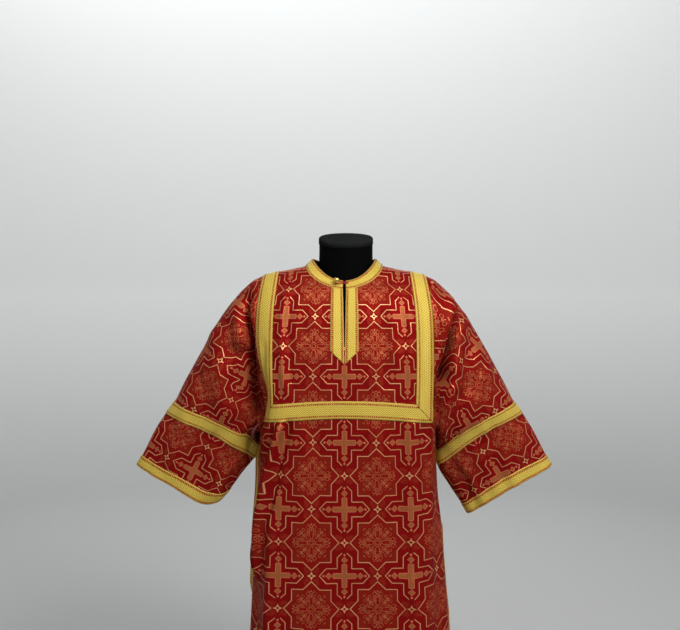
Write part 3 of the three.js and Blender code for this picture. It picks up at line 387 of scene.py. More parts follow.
def sink(across, row):
    share, beyond = np.minimum(1, np.abs(across)), np.maximum(0, np.abs(across) - 1)
    return (CENTRE_DROP * share ** 2 + SIDE_DROP * beyond) * ease(-row, -SHOULDER_ROW, -1200)


def neck_curve(x, reach, drop, power):
    return drop * np.maximum(0, 1 - np.minimum(1, np.abs(x) / reach) ** 2) ** (power / 2)


def body_at(face, across, row):
    """Places on the body's cloth. Above BAND_ROW lies the strip under the neck band."""
    shape = across.shape
    across, row = across.ravel().astype(float), row.ravel().astype(float)
    right = across < 0
    share, side = np.abs(across), np.where(right, -1, 1)
    under = (share > 1) & (row > CALM_ROW)
    low_row = np.minimum(row, SHOULDER_ROW)
    z = low_row - sink(across, low_row)
    yoke_z = YOKE_ROW - CENTRE_DROP
    scoop = ARMPIT_Z + (yoke_z - ARMPIT_Z) * (1 - np.sqrt(np.clip(1 - (2 - share) ** 2, 0, 1)))
    calm = CALM_ROW - sink(across, np.full_like(row, CALM_ROW))
    fall = np.clip((YOKE_ROW - low_row) / (YOKE_ROW - CALM_ROW), 0, 1)
    z = np.where(under, mix(scoop, calm, fall), z)
    x, y, _ = round_body(face, across, z)
    x, y = fold_out(face, x, y, across, z)
    y = np.where(share >= 2, 0, y)
    # The shoulders, up to the ridge or to the neck band's outer edge
    top_x = share * SHOULDER_X
    band_top = shoulder_ridge(NECK_REACH)
    band_edge = band_top - neck_curve(top_x, NECK_REACH, band_top - BAND_LOW_Z[face], 1.2)
    on_ridge = share >= NECK_SHARE - 1e-6
    top_z = np.where(on_ridge, shoulder_ridge(top_x), band_edge)
    t = np.clip((BAND_ROW - row) / (BAND_ROW - SHOULDER_ROW), 0, 1)
    upper = (row > SHOULDER_ROW) & (share <= 1)
    up_x, up_z = mix(side * top_x, x, t), mix(top_z, z, t)
    # The strip under the neck band
    n = np.clip((row - BAND_ROW) / (NECK_ROW - BAND_ROW), 0, 1)
    inner_x = top_x * NECK_POINT_X / NECK_REACH
    neckline = NECK_POINT_Z - neck_curve(inner_x, NECK_POINT_X, NECK_DROP[face], 1.6)
    strip = row > BAND_ROW
    up_x = np.where(strip, side * mix(top_x, np.where(share < 0.03, top_x, inner_x), n), up_x)
    up_z = np.where(strip, mix(top_z, neckline, n), up_z)
    up_y = ring_depth(face, up_x, up_z, right) * OUTWARD[face]
    up_y = np.where(on_ridge & (row >= BAND_ROW), 0, up_y)
    x, z, y = np.where(upper, up_x, x), np.where(upper, up_z, z), np.where(upper, up_y, y)
    return np.stack([x, y, z], 1).reshape(*shape, 3)


def crease_line(x, z, places, before, past):
    """1 on a crease down through places, falling off over one width before it and another past it."""
    places = np.array(places, float)
    centre = np.interp(-z, -places[:, 1], places[:, 0])
    gap = x - centre
    width = np.where(gap < 0, before, past)
    top, low = places[0, 1], places[-1, 1]
    ends = ease(-z, -top - 10, -top + 22) * (1 - ease(-z, -low - 30, -low + 20))
    return ends * np.exp(-((gap / width) ** 2))


def crease_sum(face, across, row):
    """Small creases and unevenness of the body's cloth, outwards in mm."""
    u = across * PANEL_HALF
    out = 0
    for i, (places, depth, right, left) in enumerate(BODY_CREASES[face]):
        line = [(a * PANEL_HALF, r) for a, r in places]
        wander = 2.0 * ripple(row, u * 0, 40 + i, 2, 130, 1)
        out = out + depth * crease_line(u + wander, row, line, right, left)
    calm = ease(row, 1120, 1200)
    out = out + (1.3 - 0.7 * calm) * ripple(u, row, 3 + len(face), 5, 120, 330)
    out = out + (0.55 - 0.2 * calm) * ripple(u, row, 11 + len(face), 6, 46, 120)
    # Calm on every seam: shoulder ridge, side seams and the armhole's edge
    from_armhole = np.hypot(np.maximum(0, 1 - np.abs(across)) * PANEL_HALF, np.maximum(0, YOKE_ROW - row))
    seams = ease(2 - np.abs(across), 0, 0.06) * (1 - np.exp(-((from_armhole / 7) ** 2)))
    return out * seams * ease(-row, -1460, -1400)


def normals_of(points):
    """Unit normals of a laid grid, all on one side of it."""
    normal = np.cross(np.gradient(points, axis=1), np.gradient(points, axis=0))
    return normal / np.maximum(1e-9, np.linalg.norm(normal, axis=2, keepdims=True))


def lay(face, across, row, lift=0.0):
    """Body cloth with its creases, lifted off by so many mm."""
    points = body_at(face, across, row)
    normal = normals_of(points)
    normal = normal * (np.sign(np.sum(normal[..., :2] * points[..., :2])) or 1)
    # On the seams the two faces share one direction, so that what crosses them stays joined.
    normal[..., 1] = np.where(np.abs(points[..., 1]) < 1e-6, 0, normal[..., 1])
    normal /= np.maximum(1e-9, np.linalg.norm(normal, axis=2, keepdims=True))
    return points + normal * (crease_sum(face, across, row) + lift)[..., None], normal


def add_grid(bm, points, cloth):
    """A grid of the bmesh laid on an array of places, with its cloth measures kept on the vertices."""
    layer = bm.verts.layers.float_vector.get("cloth") or bm.verts.layers.float_vector.new("cloth")
    rows, columns = points.shape[0] - 1, points.shape[1] - 1
    made = bmesh.ops.create_grid(bm, x_segments=columns, y_segments=rows, size=0.5)["verts"]
    for vert in made:
        i, j = round((vert.co.x + 0.5) * columns), round((vert.co.y + 0.5) * rows)
        vert.co = points[j, i]
        vert[layer] = (cloth[j, i, 0], cloth[j, i, 1], 0)
    return made


def face_outwards(bm, faces, outward):
    """Turns a set of faces over if most of them face away from a direction given by a function."""
    faces = list(faces)
    votes = 0
    for face in faces[:: max(1, len(faces) // 400)]:
        face.normal_update()
        votes += 1 if face.normal.dot(outward(face.calc_center_median())) > 0 else -1
    if votes < 0:
        bmesh.ops.reverse_faces(bm, faces=faces)


def piece_from(bm, name, materials, nodes, thickness=None, offset=0.0):
    """A shown piece of the part from a bmesh in mm: placed, thickened, ridden and named for its CAD nodes."""
    bmesh.ops.translate(bm, verts=bm.verts, vec=(GARMENT_X, 0, 0))
    bmesh.ops.scale(bm, verts=bm.verts, vec=(MM, MM, MM))
    mesh = bpy.data.meshes.new(name)
    bm.to_mesh(mesh)
    bm.free()
    mesh.shade_smooth()
    piece = bpy.data.objects.new(name, mesh)
    bpy.context.scene.collection.objects.link(piece)
    for material in materials:
        mesh.materials.append(material)
    if thickness:
        wall = piece.modifiers.new("wall", "SOLIDIFY")
        wall.thickness = thickness * MM
        wall.offset = offset
        wall.use_even_offset = False
        wall.use_rim = True
        if len(materials) > 1:
            wall.material_offset = 1
            wall.material_offset_rim = 0
    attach(piece, "root")
    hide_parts(*nodes)
    return piece


def slit_share(row):
    """Half the slit's width at a row, as a share of the panel."""
    up = np.clip((row - SLIT_END) / (SLIT_START - SLIT_END), 0, 1)
    return mix(SLIT_LOW, SLIT_TOP, up) / SLIT_MEASURE


def half_columns(near, far):
    """Evenly spread shares from the slit's edge to the neck band's end, and on to the yoke's edge."""
    return np.concatenate([np.linspace(0, NECK_SHARE, near + 1), np.linspace(NECK_SHARE, 1, far + 1)[1:]])


def over_shoulder(steps):
    """Rows from the shoulder's ridge down to the first row of the chest, closer together at the ridge."""
    return BAND_ROW - (BAND_ROW - SHOULDER_ROW) * (np.arange(steps + 1) / steps) ** 1.5


def panel_rows():
    chest, skirt = np.linspace(SHOULDER_ROW, YOKE_ROW, 50)[1:], np.linspace(YOKE_ROW, HEM, 190)[1:]
    rows = np.concatenate([over_shoulder(26), chest, skirt])
    rows[np.argmin(np.abs(rows - SLIT_END))] = SLIT_END
    return rows


def in_slit(vert):
    return abs(vert.co.x) < SLIT_TOP + 0.6 and vert.co.z > SLIT_END - 1


def cloth_piece(bm, node):
    piece = piece_from(bm, "cloth_" + node, [brocade, brocade_back], [node], CLOTH)


# The repeat as it lies on the body: a little narrower towards the shoulders, and longer over the chest
WIDTH_ROWS, WIDTH_SHARES = [600, 770, 920, 1071, 1220, 1353, 1440], [1.01, 1.02, 1.0, 1.04, 1.063, 1.13, 1.15]
LENGTH_ROWS, LENGTH_MARKS = [0, 1065.5, 1214, 1348, 1520], [0, 1065.5, 1215.5, 1365.5, 1558]


def repeat_on_body(u, height):
    across = u * np.interp(height, WIDTH_ROWS, WIDTH_SHARES)
    return np.stack([across, np.interp(height, LENGTH_ROWS, LENGTH_MARKS)], 2)


def length_down(points, rows, start):
    """The cloth's own height: rows below a start row, and measured length above it."""
    fall = run_along(points, 0)
    k = int(np.argmin(np.abs(rows - start)))
    measured = fall[k] - fall + points[k, :, 2]
    return np.where((rows >= rows[k])[:, None], measured, points[..., 2])


def make_panel(face):
    """The front or back of the body: its cloth from edge to edge, slit on the front."""
    bm = bmesh.new()
    rows = panel_rows()
    half = half_columns(21, 25)
    slit = slit_share(rows)[:, None]
    columns = slit + (1 - slit) * half
    across = np.concatenate([-columns[:, ::-1], columns], 1)
    points, _ = lay(face, across, np.repeat(rows[:, None], across.shape[1], 1))
    add_grid(bm, points, repeat_on_body(across * PANEL_HALF, length_down(points, rows, 1300)))
    # Under the arms, on to the side seams
    for side in (-1, 1):
        across, row = np.meshgrid(side * np.linspace(1, 2, 31), rows[rows <= YOKE_ROW])
        points, _ = lay(face, across, row)
        beyond = round_body(face, across.ravel(), points[..., 2].ravel())[2].reshape(across.shape)
        u = side * (PANEL_HALF + beyond - beyond[:, :1])
        add_grid(bm, points, repeat_on_body(u, points[..., 2]))
    # The strip under the neck band
    slit = slit_share(SLIT_START)
    columns = slit + (1 - slit) * half[half <= NECK_SHARE + 1e-6]
    across, row = np.meshgrid(np.concatenate([-columns[::-1], columns]), np.linspace(NECK_ROW, BAND_ROW, 7))
    points, _ = lay(face, across, row)
    add_grid(bm, points, repeat_on_body(across * PANEL_HALF, NECK_ROW + row - BAND_ROW))
    bmesh.ops.remove_doubles(bm, verts=bm.verts, dist=0.05)
    if face == "front":
        gap = [f for f in bm.faces if all(in_slit(vert) for vert in f.verts)]
        bmesh.ops.delete(bm, geom=gap, context="FACES")
    bmesh.ops.recalc_face_normals(bm, faces=bm.faces)
    face_outwards(bm, bm.faces, lambda _: Vector((0, OUTWARD[face], 0)))
    cloth_piece(bm, face)


def band_profile(s, width):
    """How far a galloon stands off: a raised cord along each edge, and a slightly crowned middle."""
    edge = np.abs(s) / (width / 2)
    return 0.35 * np.exp(-(((edge - 0.94) / 0.045) ** 2)) + 0.25 * (1 - edge ** 2)


def band_grid(bm, face, across, rows, s, t, width):
    """Galloon on the body's cloth: s is the measure across it and t along it."""
    pucker = 0.18 * np.sin(t / 2.1) * np.exp(-(((np.abs(s) - width / 2 + 2) / 2.5) ** 2))
    points, normal = lay(face, across, rows, TRIM_LIFT + band_profile(s, width) + pucker)
    made = add_grid(bm, points, np.stack([s, t], 2))
    faces = list({f for v in made for f in v.link_faces})
    mean = Vector(normal.reshape(-1, 3).sum(0))
    face_outwards(bm, faces, lambda _: mean)


def galloon_piece(bm, node, width):
    return piece_from(bm, "galloon_" + node, [galloons[width]], [node], GALLOON, offset=1.0)


def make_band(node, stretches, width):
    """A band sewn on the body, from its stretches of face, across, rows, s and t."""
    bm = bmesh.new()
    for stretch in stretches:
        band_grid(bm, *stretch, width)
    bmesh.ops.remove_doubles(bm, verts=bm.verts, dist=0.08)
    return galloon_piece(bm, node, width)


def yoke_side_band(side):
    for face in OUTWARD:
        k, s = np.meshgrid(np.arange(121) / 120, np.linspace(-WIDE / 2, WIDE / 2, 15), indexing="ij")
        reach = s / WIDE + 0.5
        low = YOKE_ROW - WIDE * reach + 0.4
        rows = BAND_ROW - (BAND_ROW - low) * k ** 1.25
        across = side * mix(YOKE_EDGE, 1, reach)
        yield face, across, rows, s, -OUTWARD[face] * run_along(body_at(face, across, rows), 0)


def yoke_cross_band(face):
    rows, c = np.meshgrid(np.linspace(YOKE_ROW, YOKE_ROW - WIDE, 15), np.linspace(-1, 1, 141), indexing="ij")
    across = c * (mix(YOKE_EDGE, 1, (YOKE_ROW - rows) / WIDE) - 0.6 / PANEL_HALF)
    yield face, across, rows, YOKE_ROW - WIDE / 2 - rows, across * PANEL_HALF


def neck_band(face, side):
    columns = np.linspace(slit_share(SLIT_START) if face == "front" else 0, NECK_SHARE, 41)
    columns = side * columns if side else np.concatenate([-columns[:0:-1], columns])
    across, rows = np.meshgrid(columns, np.linspace(NECK_ROW, BAND_ROW, 11))
    t = np.repeat(run_along(body_at(face, across, rows), 1)[-1:], len(rows), 0)
    yield face, across, rows, NARROW * ((rows - BAND_ROW) / (NECK_ROW - BAND_ROW) - 0.5), t


def placket_band(side):
    k, c = np.meshgrid(np.arange(81) / 80, np.arange(13) / 12, indexing="ij")
    top = BAND_ROW - 1
    rows = top - (top - mix(PLACKET_POINT, PLACKET_SHOULDER, c)) * k
    across = side * mix(slit_share(rows) + 0.0008, PLACKET_EDGE, c)
    yield "front", across, rows, NARROW * (c - 0.5), -run_along(body_at("front", across, rows), 0)


def side_seam_band(side):
    for face in OUTWARD:
        s, rows = np.meshgrid(np.linspace(0, WIDE / 2, 9), np.linspace(1136, HEM + WIDE + 1, 190))
        yield face, side * (2 - s / SIDE_BAND_HALF / 6), rows, -OUTWARD[face] * s, rows


def hem_band(face):
    across, rows = np.meshgrid(np.linspace(-2, 2, 221), np.linspace(HEM + WIDE, HEM, 15))
    yield face, across, rows, rows - HEM - WIDE / 2, run_along(body_at(face, across, rows), 1)


def armhole():
    """The armhole's edge on the front or back: across and row of its places, and their share of a turn."""
    marks = [BAND_ROW, 1455.2, 1442.4, 1418.4, SHOULDER_ROW, 1330]
    marks += [SLIT_END, PLACKET_SHOULDER, PLACKET_POINT, 1200, YOKE_ROW]
    rows = np.concatenate([over_shoulder(30), np.linspace(SHOULDER_ROW, YOKE_ROW, 40)[1:]])
    down = np.interp(-rows, -np.array(marks, float), range(len(marks)))
    around = np.linspace(1, 2, 31)[1:]
    across = np.concatenate([np.ones(len(rows)), around])
    level = np.concatenate([rows, np.full(len(around), float(YOKE_ROW))])
    turn = np.concatenate([down, 10 + 6 * (around - 1)]) / 16
    return across, level, turn


def sleeve_ring(side, s, turn, seam):
    """Places round a sleeve: s counts its sections from the armhole, turn runs down the front and back up."""
    word = "left" if side > 0 else "right"

    def column(name):
        return read(SLEEVE, name, np.maximum(s, 1), by="at")

    share, aside, y = seam
    half_turn = math.pi * np.abs(turn)
    lens = column("lens")
    along = mix(share, (1 - np.cos(half_turn)) / 2, lens)
    lens_y = column("depth") * np.sin(half_turn) * np.where(turn >= 0, -1, 1)
    x = mix(column("outer_x"), column("inner_x_" + word), along) + aside * (1 - lens)
    z = mix(column("outer_z"), column("inner_z_" + word), along)
    bend = column("bow_" + word) * np.sin(math.pi * along)
    bend = bend - column("hang_" + word) * along ** 2 * (1 - along ** 6)
    return x, mix(y, lens_y, lens), z + bend * np.where(turn >= 0, 1, 0.5)


def sleeve_relief(x, y, z, side):
    """Creases of a sleeve, outwards in mm, by its front view; the back has its own a little lower."""
    back = y > 0
    out = 0
    for i, (places, depth, toward, away) in enumerate(SLEEVE_CREASES[side]):
        wander = 2.5 * ripple(z, x * 0, 70 + i, 2, 90, 1)
        moved_x, moved_z = x + wander + np.where(back, 6, 0), np.where(back, z + 16 + 5 * (i % 3), z)
        out = out + depth * np.where(back, 0.7, 1) * crease_line(moved_x, moved_z, places, toward, away)
    out = out + 1.5 * ripple(x, z, 90 + side, 5, 90, 150)
    out = out + 0.8 * ripple(x, z + y, 95 + side, 7, 34, 60)
    low = ease(-z, -1150, -1060)
    out = out + 2.6 * low * ripple(x + 0.6 * z, y * 0.3, 50 + side, 4, 62, 200)
    # No dip reaches the sleeve's other wall.
    return np.maximum(out * np.clip(np.abs(y) / 26, 0, 1), -0.8 * np.abs(y))


def sleeve_at(side, s, turn, lift=0.0):
    """Places on a sleeve's cloth, lifted off by so many mm."""
    across, level, turns = armhole()
    loops = {face: body_at(face, side * across, level) for face in OUTWARD}
    top, bottom = loops["front"][0], loops["front"][-1]
    shape = s.shape
    s, turn = s.ravel(), turn.ravel()
    hole = []
    for axis in range(3):
        front, back = (np.interp(np.abs(turn), turns, loops[face][:, axis]) for face in OUTWARD)
        hole.append(np.where(turn >= 0, front, back))
    share = (top[2] - hole[2]) / (top[2] - bottom[2])
    aside = side * hole[0] - mix(side * top[0], side * bottom[0], share)
    ring = sleeve_ring(side, s, turn, (share, aside, hole[1]))
    edge = (side * hole[0], hole[1], hole[2])
    x, y, z = (mix(start, end, np.clip(s, 0, 1)) for start, end in zip(edge, ring))
    points = np.stack([side * x, y, z], 1).reshape(*shape, 3)
    normal = normals_of(points)
    middle = points.mean(1, keepdims=True)
    normal = normal * (np.sign(np.sum((points - middle) * normal)) or 1)
    free = ease(s, 0.0, 0.8)
    places, reach, toward, away = SLEEVE_LEAN[side]
    lean = reach * crease_line(x, z, places, toward, away) * (y < 0) * np.clip(np.abs(y) / 30, 0, 1)
    points[..., 0] += side * (lean * free).reshape(shape)
    return points + normal * ((sleeve_relief(x, y, z, side) * free).reshape(shape) + lift)[..., None]


def sleeve_cloth(side, points):
    """Cloth measures on a sleeve: round it from the outer edge, and along the sleeve's axis."""
    axis = np.array([side * SLEEVE_AXIS[0], 0, SLEEVE_AXIS[1]])
    across = np.array([-side * SLEEVE_AXIS[1], 0, SLEEVE_AXIS[0]])
    # Measured along the cloth's own dips as well, counted back from the cuff
    down = np.diff(points, axis=0)
    dips = np.hypot(down @ axis, down[..., 1]) - np.abs(down @ axis)
    along = points @ axis - np.insert(np.cumsum(dips[::-1], 0)[::-1], len(dips), 0, 0)
    step = np.diff(points, axis=1)
    round_step = np.sqrt(np.maximum(0, (step ** 2).sum(2) - (step @ axis) ** 2))
    run = np.insert(np.cumsum(round_step, 1), 0, 0, 1)
    start = points.shape[1] // 2
    u = (run - run[:, start : start + 1]) - points[:, start, :][:, None, :] @ across
    (a, b, c), (d, e, f) = SLEEVE_REPEAT[side]
    return np.stack([a * u + b * along + c, d * u + e * along + f + BODY_PHASE], 2)


def sleeve_bmesh(points, cloth):
    """A closed tube of cloth or galloon round a sleeve, with its faces outwards."""
    bm = bmesh.new()
    add_grid(bm, points, cloth)
    bmesh.ops.remove_doubles(bm, verts=bm.verts, dist=0.02)
    middle = points.reshape(-1, 3).mean(0)[1]
    face_outwards(bm, bm.faces, lambda place: Vector((0, place.y - middle, 0)))
    return bm


def make_sleeve(side, node):
    sections = np.concatenate([np.linspace(0, 1, 6), np.linspace(1, 13, 140)[1:]])
    turn, s = np.meshgrid(np.arange(-130, 131) / 130, sections)
    points = sleeve_at(side, s, turn)
    cloth_piece(sleeve_bmesh(points, sleeve_cloth(side, points)), node)


def sleeve_trim(side, node, between, width):
    """Galloon round a sleeve between two of its sections."""
    turn, s = np.meshgrid(np.arange(-70, 71) / 70, np.linspace(*between, 13))
    distance = width * (0.5 - (s - between[0]) / (between[1] - between[0]))
    points = sleeve_at(side, s, turn, TRIM_LIFT + band_profile(distance, width))
    t = np.repeat(run_along(points, 1)[:1], len(points), 0)
    return galloon_piece(sleeve_bmesh(points, np.stack([distance, t], 2)), node, width)


def oval(angle, half, front, back, square):
    """Places round an oval ring: reach across and back or front at each angle."""
    across = np.abs(np.cos(angle)) / half
    deep = np.abs(np.sin(angle)) / np.where(np.sin(angle) < 0, front, back)
    return (across ** square + deep ** square) ** (-1 / square)


def ring_places(angle, reach, z, lean):
    """A ring of places at a height; the share of the neck's tilt lifts what lies towards the back."""
    x, y = reach * np.cos(angle), reach * np.sin(angle)
    return np.stack([x, y, z + y * math.tan(NECK_TILT) * lean], 1)


def rings_piece(name, rings, material, node):
    """A smooth round piece on the form's own axis, from rings of places; both ends close to a point."""
    bm = bmesh.new()
    ends = [np.repeat(ring.mean(0)[None], len(ring), 0) for ring in (rings[0], rings[-1])]
    points = np.array([ends[0], *rings, ends[1]])
    add_grid(bm, points, np.zeros(points.shape[:2] + (2,)))
    bmesh.ops.remove_doubles(bm, verts=bm.verts, dist=0.01)
    bmesh.ops.recalc_face_normals(bm, faces=bm.faces)
    bmesh.ops.translate(bm, verts=bm.verts, vec=(-GARMENT_X, 0, 0))
    return piece_from(bm, name, [material], [node])


def make_form():
    """The dress form's torso with its neck, and the cap on the neck."""
    angle = np.linspace(0, 2 * math.pi, 145)
    rings = []
    torso = np.linspace(FORM_LOW, FORM_SHOULDER, 40)
    for z in np.concatenate([torso, np.linspace(1404, 1476, 30), np.linspace(1480, NECK_TOP, 12)]):
        table, z_read = (FORM_RINGS, z) if z <= FORM_SHOULDER else (BODY_RINGS, z + FORM_DROP)
        half, front, back = (read(table, name, z_read) for name in ("half", "front", "back"))
        if z <= FORM_SHOULDER:
            reach = oval(angle, half, front, back, 2.4)
        else:
            reach = oval(angle, NECK_HALF + 0.5 * (1 - ease(z, 1468, 1496)), NECK_FRONT, NECK_BACK, 2)
            if front > FORM_EASE + 1:
                inside = (min(half - FORM_EASE, 181), front - FORM_EASE, max(1, back - FORM_EASE))
                reach = np.maximum(reach, oval(angle, *inside, 2.5))
        rings.append(ring_places(angle, reach, z, ease(z, 1496, NECK_TOP)))
    rings_piece("form_body", rings, form_black, "form_torso")

    side = [(CAP_RISE - CAP_ROUND * (1 - math.sin(b)), CAP_OVERHANG - CAP_ROUND * (1 - math.cos(b)))
            for b in np.linspace(0, math.pi / 2, 9)]
    cap = []
    for up, out in [(PIECE_GAP, -30), (PIECE_GAP, CAP_OVERHANG), *side, (CAP_RISE, -30)]:
        reach = oval(angle, NECK_HALF + out, NECK_FRONT + out, NECK_BACK + out, 2)
        cap.append(ring_places(angle, reach, NECK_TOP + up, 1))
    rings_piece("neck_cap", cap, cap_grey, "form_neck_cap")


def spun(outline, steps):
    """An outline of radius and height turned about the upright axis."""
    bm = bmesh.new()
    verts = [bm.verts.new((radius, 0, height)) for radius, height in outline]
    edges = [bm.edges.new(pair) for pair in zip(verts, verts[1:])]
    bmesh.ops.spin(bm, geom=verts + edges, axis=(0, 0, 1), cent=(0, 0, 0), angle=2 * math.pi, steps=steps,
                   use_merge=True)
    bmesh.ops.remove_doubles(bm, verts=bm.verts, dist=0.002)
    bmesh.ops.recalc_face_normals(bm, faces=bm.faces)
    return bm


def turned(name, outline, steps, material, node, place=(0, 0, 0), direction=(0, 0, 1)):
    """A piece turned about an axis, from its outline as radius and height in mm."""
    bm = spun(outline, steps)
    turn = Vector((0, 0, 1)).rotation_difference(Vector(direction)).to_matrix()
    bmesh.ops.rotate(bm, verts=bm.verts, cent=(0, 0, 0), matrix=turn)
    bmesh.ops.translate(bm, verts=bm.verts, vec=place)
    return piece_from(bm, name, [material], [node])


def rounded(points, radius, steps=6):
    """An outline with its inner corners rounded off."""
    out = [points[0]]
    for before, at, after in zip(points, points[1:], points[2:]):
        a, b, c = (np.array(p, float) for p in (before, at, after))
        reach = min(radius, np.linalg.norm(a - b) * 0.45, np.linalg.norm(c - b) * 0.45)
        start, end = b + (a - b) / np.linalg.norm(a - b) * reach, b + (c - b) / np.linalg.norm(c - b) * reach
        for k in range(steps + 1):
            t = k / steps
            out.append(tuple((1 - t) ** 2 * start + 2 * t * (1 - t) * b + t * t * end))
    return out + [points[-1]]


def button_seat():
    """Where the button is sewn on the right neck band, with the directions out of, up and along the cloth."""
    step = 4

    def surface(aside, above):
        x, z = BUTTON_X + aside, BUTTON_Z + above
        depth = ring_depth("front", np.array([x]), np.array([z]), np.array([False]))[0]
        return np.array([x, -depth, z], float)

    out = np.cross(surface(step, 0) - surface(-step, 0), surface(0, step) - surface(0, -step))
    out /= np.linalg.norm(out)
    up = np.array([0, 0, 1]) - out * out[2]
    up /= np.linalg.norm(up)
    return surface(0, 0) + out * (BAND_BACK + BAND_WALL + PIECE_GAP), out, up, np.cross(up, out)


def make_button():
    at, out, _, _ = button_seat()
    low = math.asin(SHANK / BUTTON_RADIUS)
    middle = BUTTON_STAND + BUTTON_RADIUS * math.cos(low)
    outline = [(0, 0), (SHANK, 0), (SHANK, BUTTON_STAND)]
    for angle in np.linspace(low, math.pi, 40):
        groove = math.exp(-(((angle - 1.45) / 0.05) ** 2))
        bead = math.exp(-(((angle - 1.62) / 0.06) ** 2))
        reach = BUTTON_RADIUS - 0.22 * groove + 0.18 * bead
        outline.append((reach * math.sin(angle), middle - reach * math.cos(angle)))
    outline[-1] = (0, outline[-1][1])
    turned("gilt_button", outline, 48, gilt, "button", tuple(at), tuple(out))


def make_loop():
    """The cord loop: from the left neck band's edge round the button's shank and back."""
    at, out, up, across = button_seat()
    rise, round_shank, run = 1.26, SHANK + 1.26, abs(BUTTON_X) + SLIT_TOP + 6
    angles = math.pi / 2 + math.pi * np.arange(7) / 6
    route = [(run, 1.4), (run * 0.6, 1.9), (run * 0.25, 2.8)]
    route += [(round_shank * math.cos(angle), round_shank * math.sin(angle)) for angle in angles]
    route += [(along, -aside) for along, aside in route[2::-1]]
    start = at + out * rise + (GARMENT_X, 0, 0)
    path = [(start + across * along + up * aside) * MM for along, aside in route]
    curve = bpy.data.curves.new("cord_loop", "CURVE")
    curve.dimensions = "3D"
    curve.resolution_u = curve.render_resolution_u = 8
    curve.bevel_depth, curve.bevel_resolution, curve.use_fill_caps = CORD * MM, 3, True
    line = curve.splines.new("BEZIER")
    line.bezier_points.add(len(path) - 1)
    for point, place in zip(line.bezier_points, path):
        point.co = place
        point.handle_left_type = point.handle_right_type = "AUTO"
    curve.materials.append(loop_red)
    loop = bpy.data.objects.new("cord_loop", curve)
    bpy.context.scene.collection.objects.link(loop)
    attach(loop, "root")
    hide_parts("button_loop")
    length = sum(float(np.linalg.norm(b - a)) for a, b in zip(path, path[1:])) * 1.02
    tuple(path[0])


def feed(tree, slot, value):
    """Gives a node's input a plain value, a Value or another node's output."""
    if isinstance(value, Value):
        value = value.socket
    if isinstance(value, bpy.types.NodeSocket):
        tree.links.new(value, slot)
    else:
        slot.default_value = value


class Value:
    """A number inside a material, written with ordinary arithmetic."""

    def __init__(self, tree, socket):
        self.tree, self.socket = tree, socket

    def math(self, operation, *others, clamp=False):
        node = self.tree.nodes.new("ShaderNodeMath")
        node.operation, node.use_clamp = operation, clamp
        for slot, value in zip(node.inputs, (self,) + others):
            feed(self.tree, slot, value)
        return Value(self.tree, node.outputs[0])

    def __add__(self, other):
        return self.math("ADD", other)

    def __sub__(self, other):
        return self.math("SUBTRACT", other)

    def __rsub__(self, other):
        return self.math("MULTIPLY_ADD", -1.0, other)

    def __mul__(self, other):
        return self.math("MULTIPLY", other)

    __radd__, __rmul__ = __add__, __mul__

    def abs(self):
        return self.math("ABSOLUTE")

    def low(self, other):
        return self.math("MINIMUM", other)

    def high(self, other):
        return self.math("MAXIMUM", other)

    def fold(self, length):
        return self.math("PINGPONG", float(length))

    def over(self, edge, blur=0.5):
        """1 where the number is over an edge, 0 under it, with a soft step."""
        return self.math("MULTIPLY_ADD", 1 / blur, 0.5 - edge / blur, clamp=True)

    def line(self, width, blur=0.5):
        """1 on a line of that width, where the number is the distance from its middle."""
        return self.math("MULTIPLY_ADD", -1 / blur, 0.5 + width / 2 / blur, clamp=True)


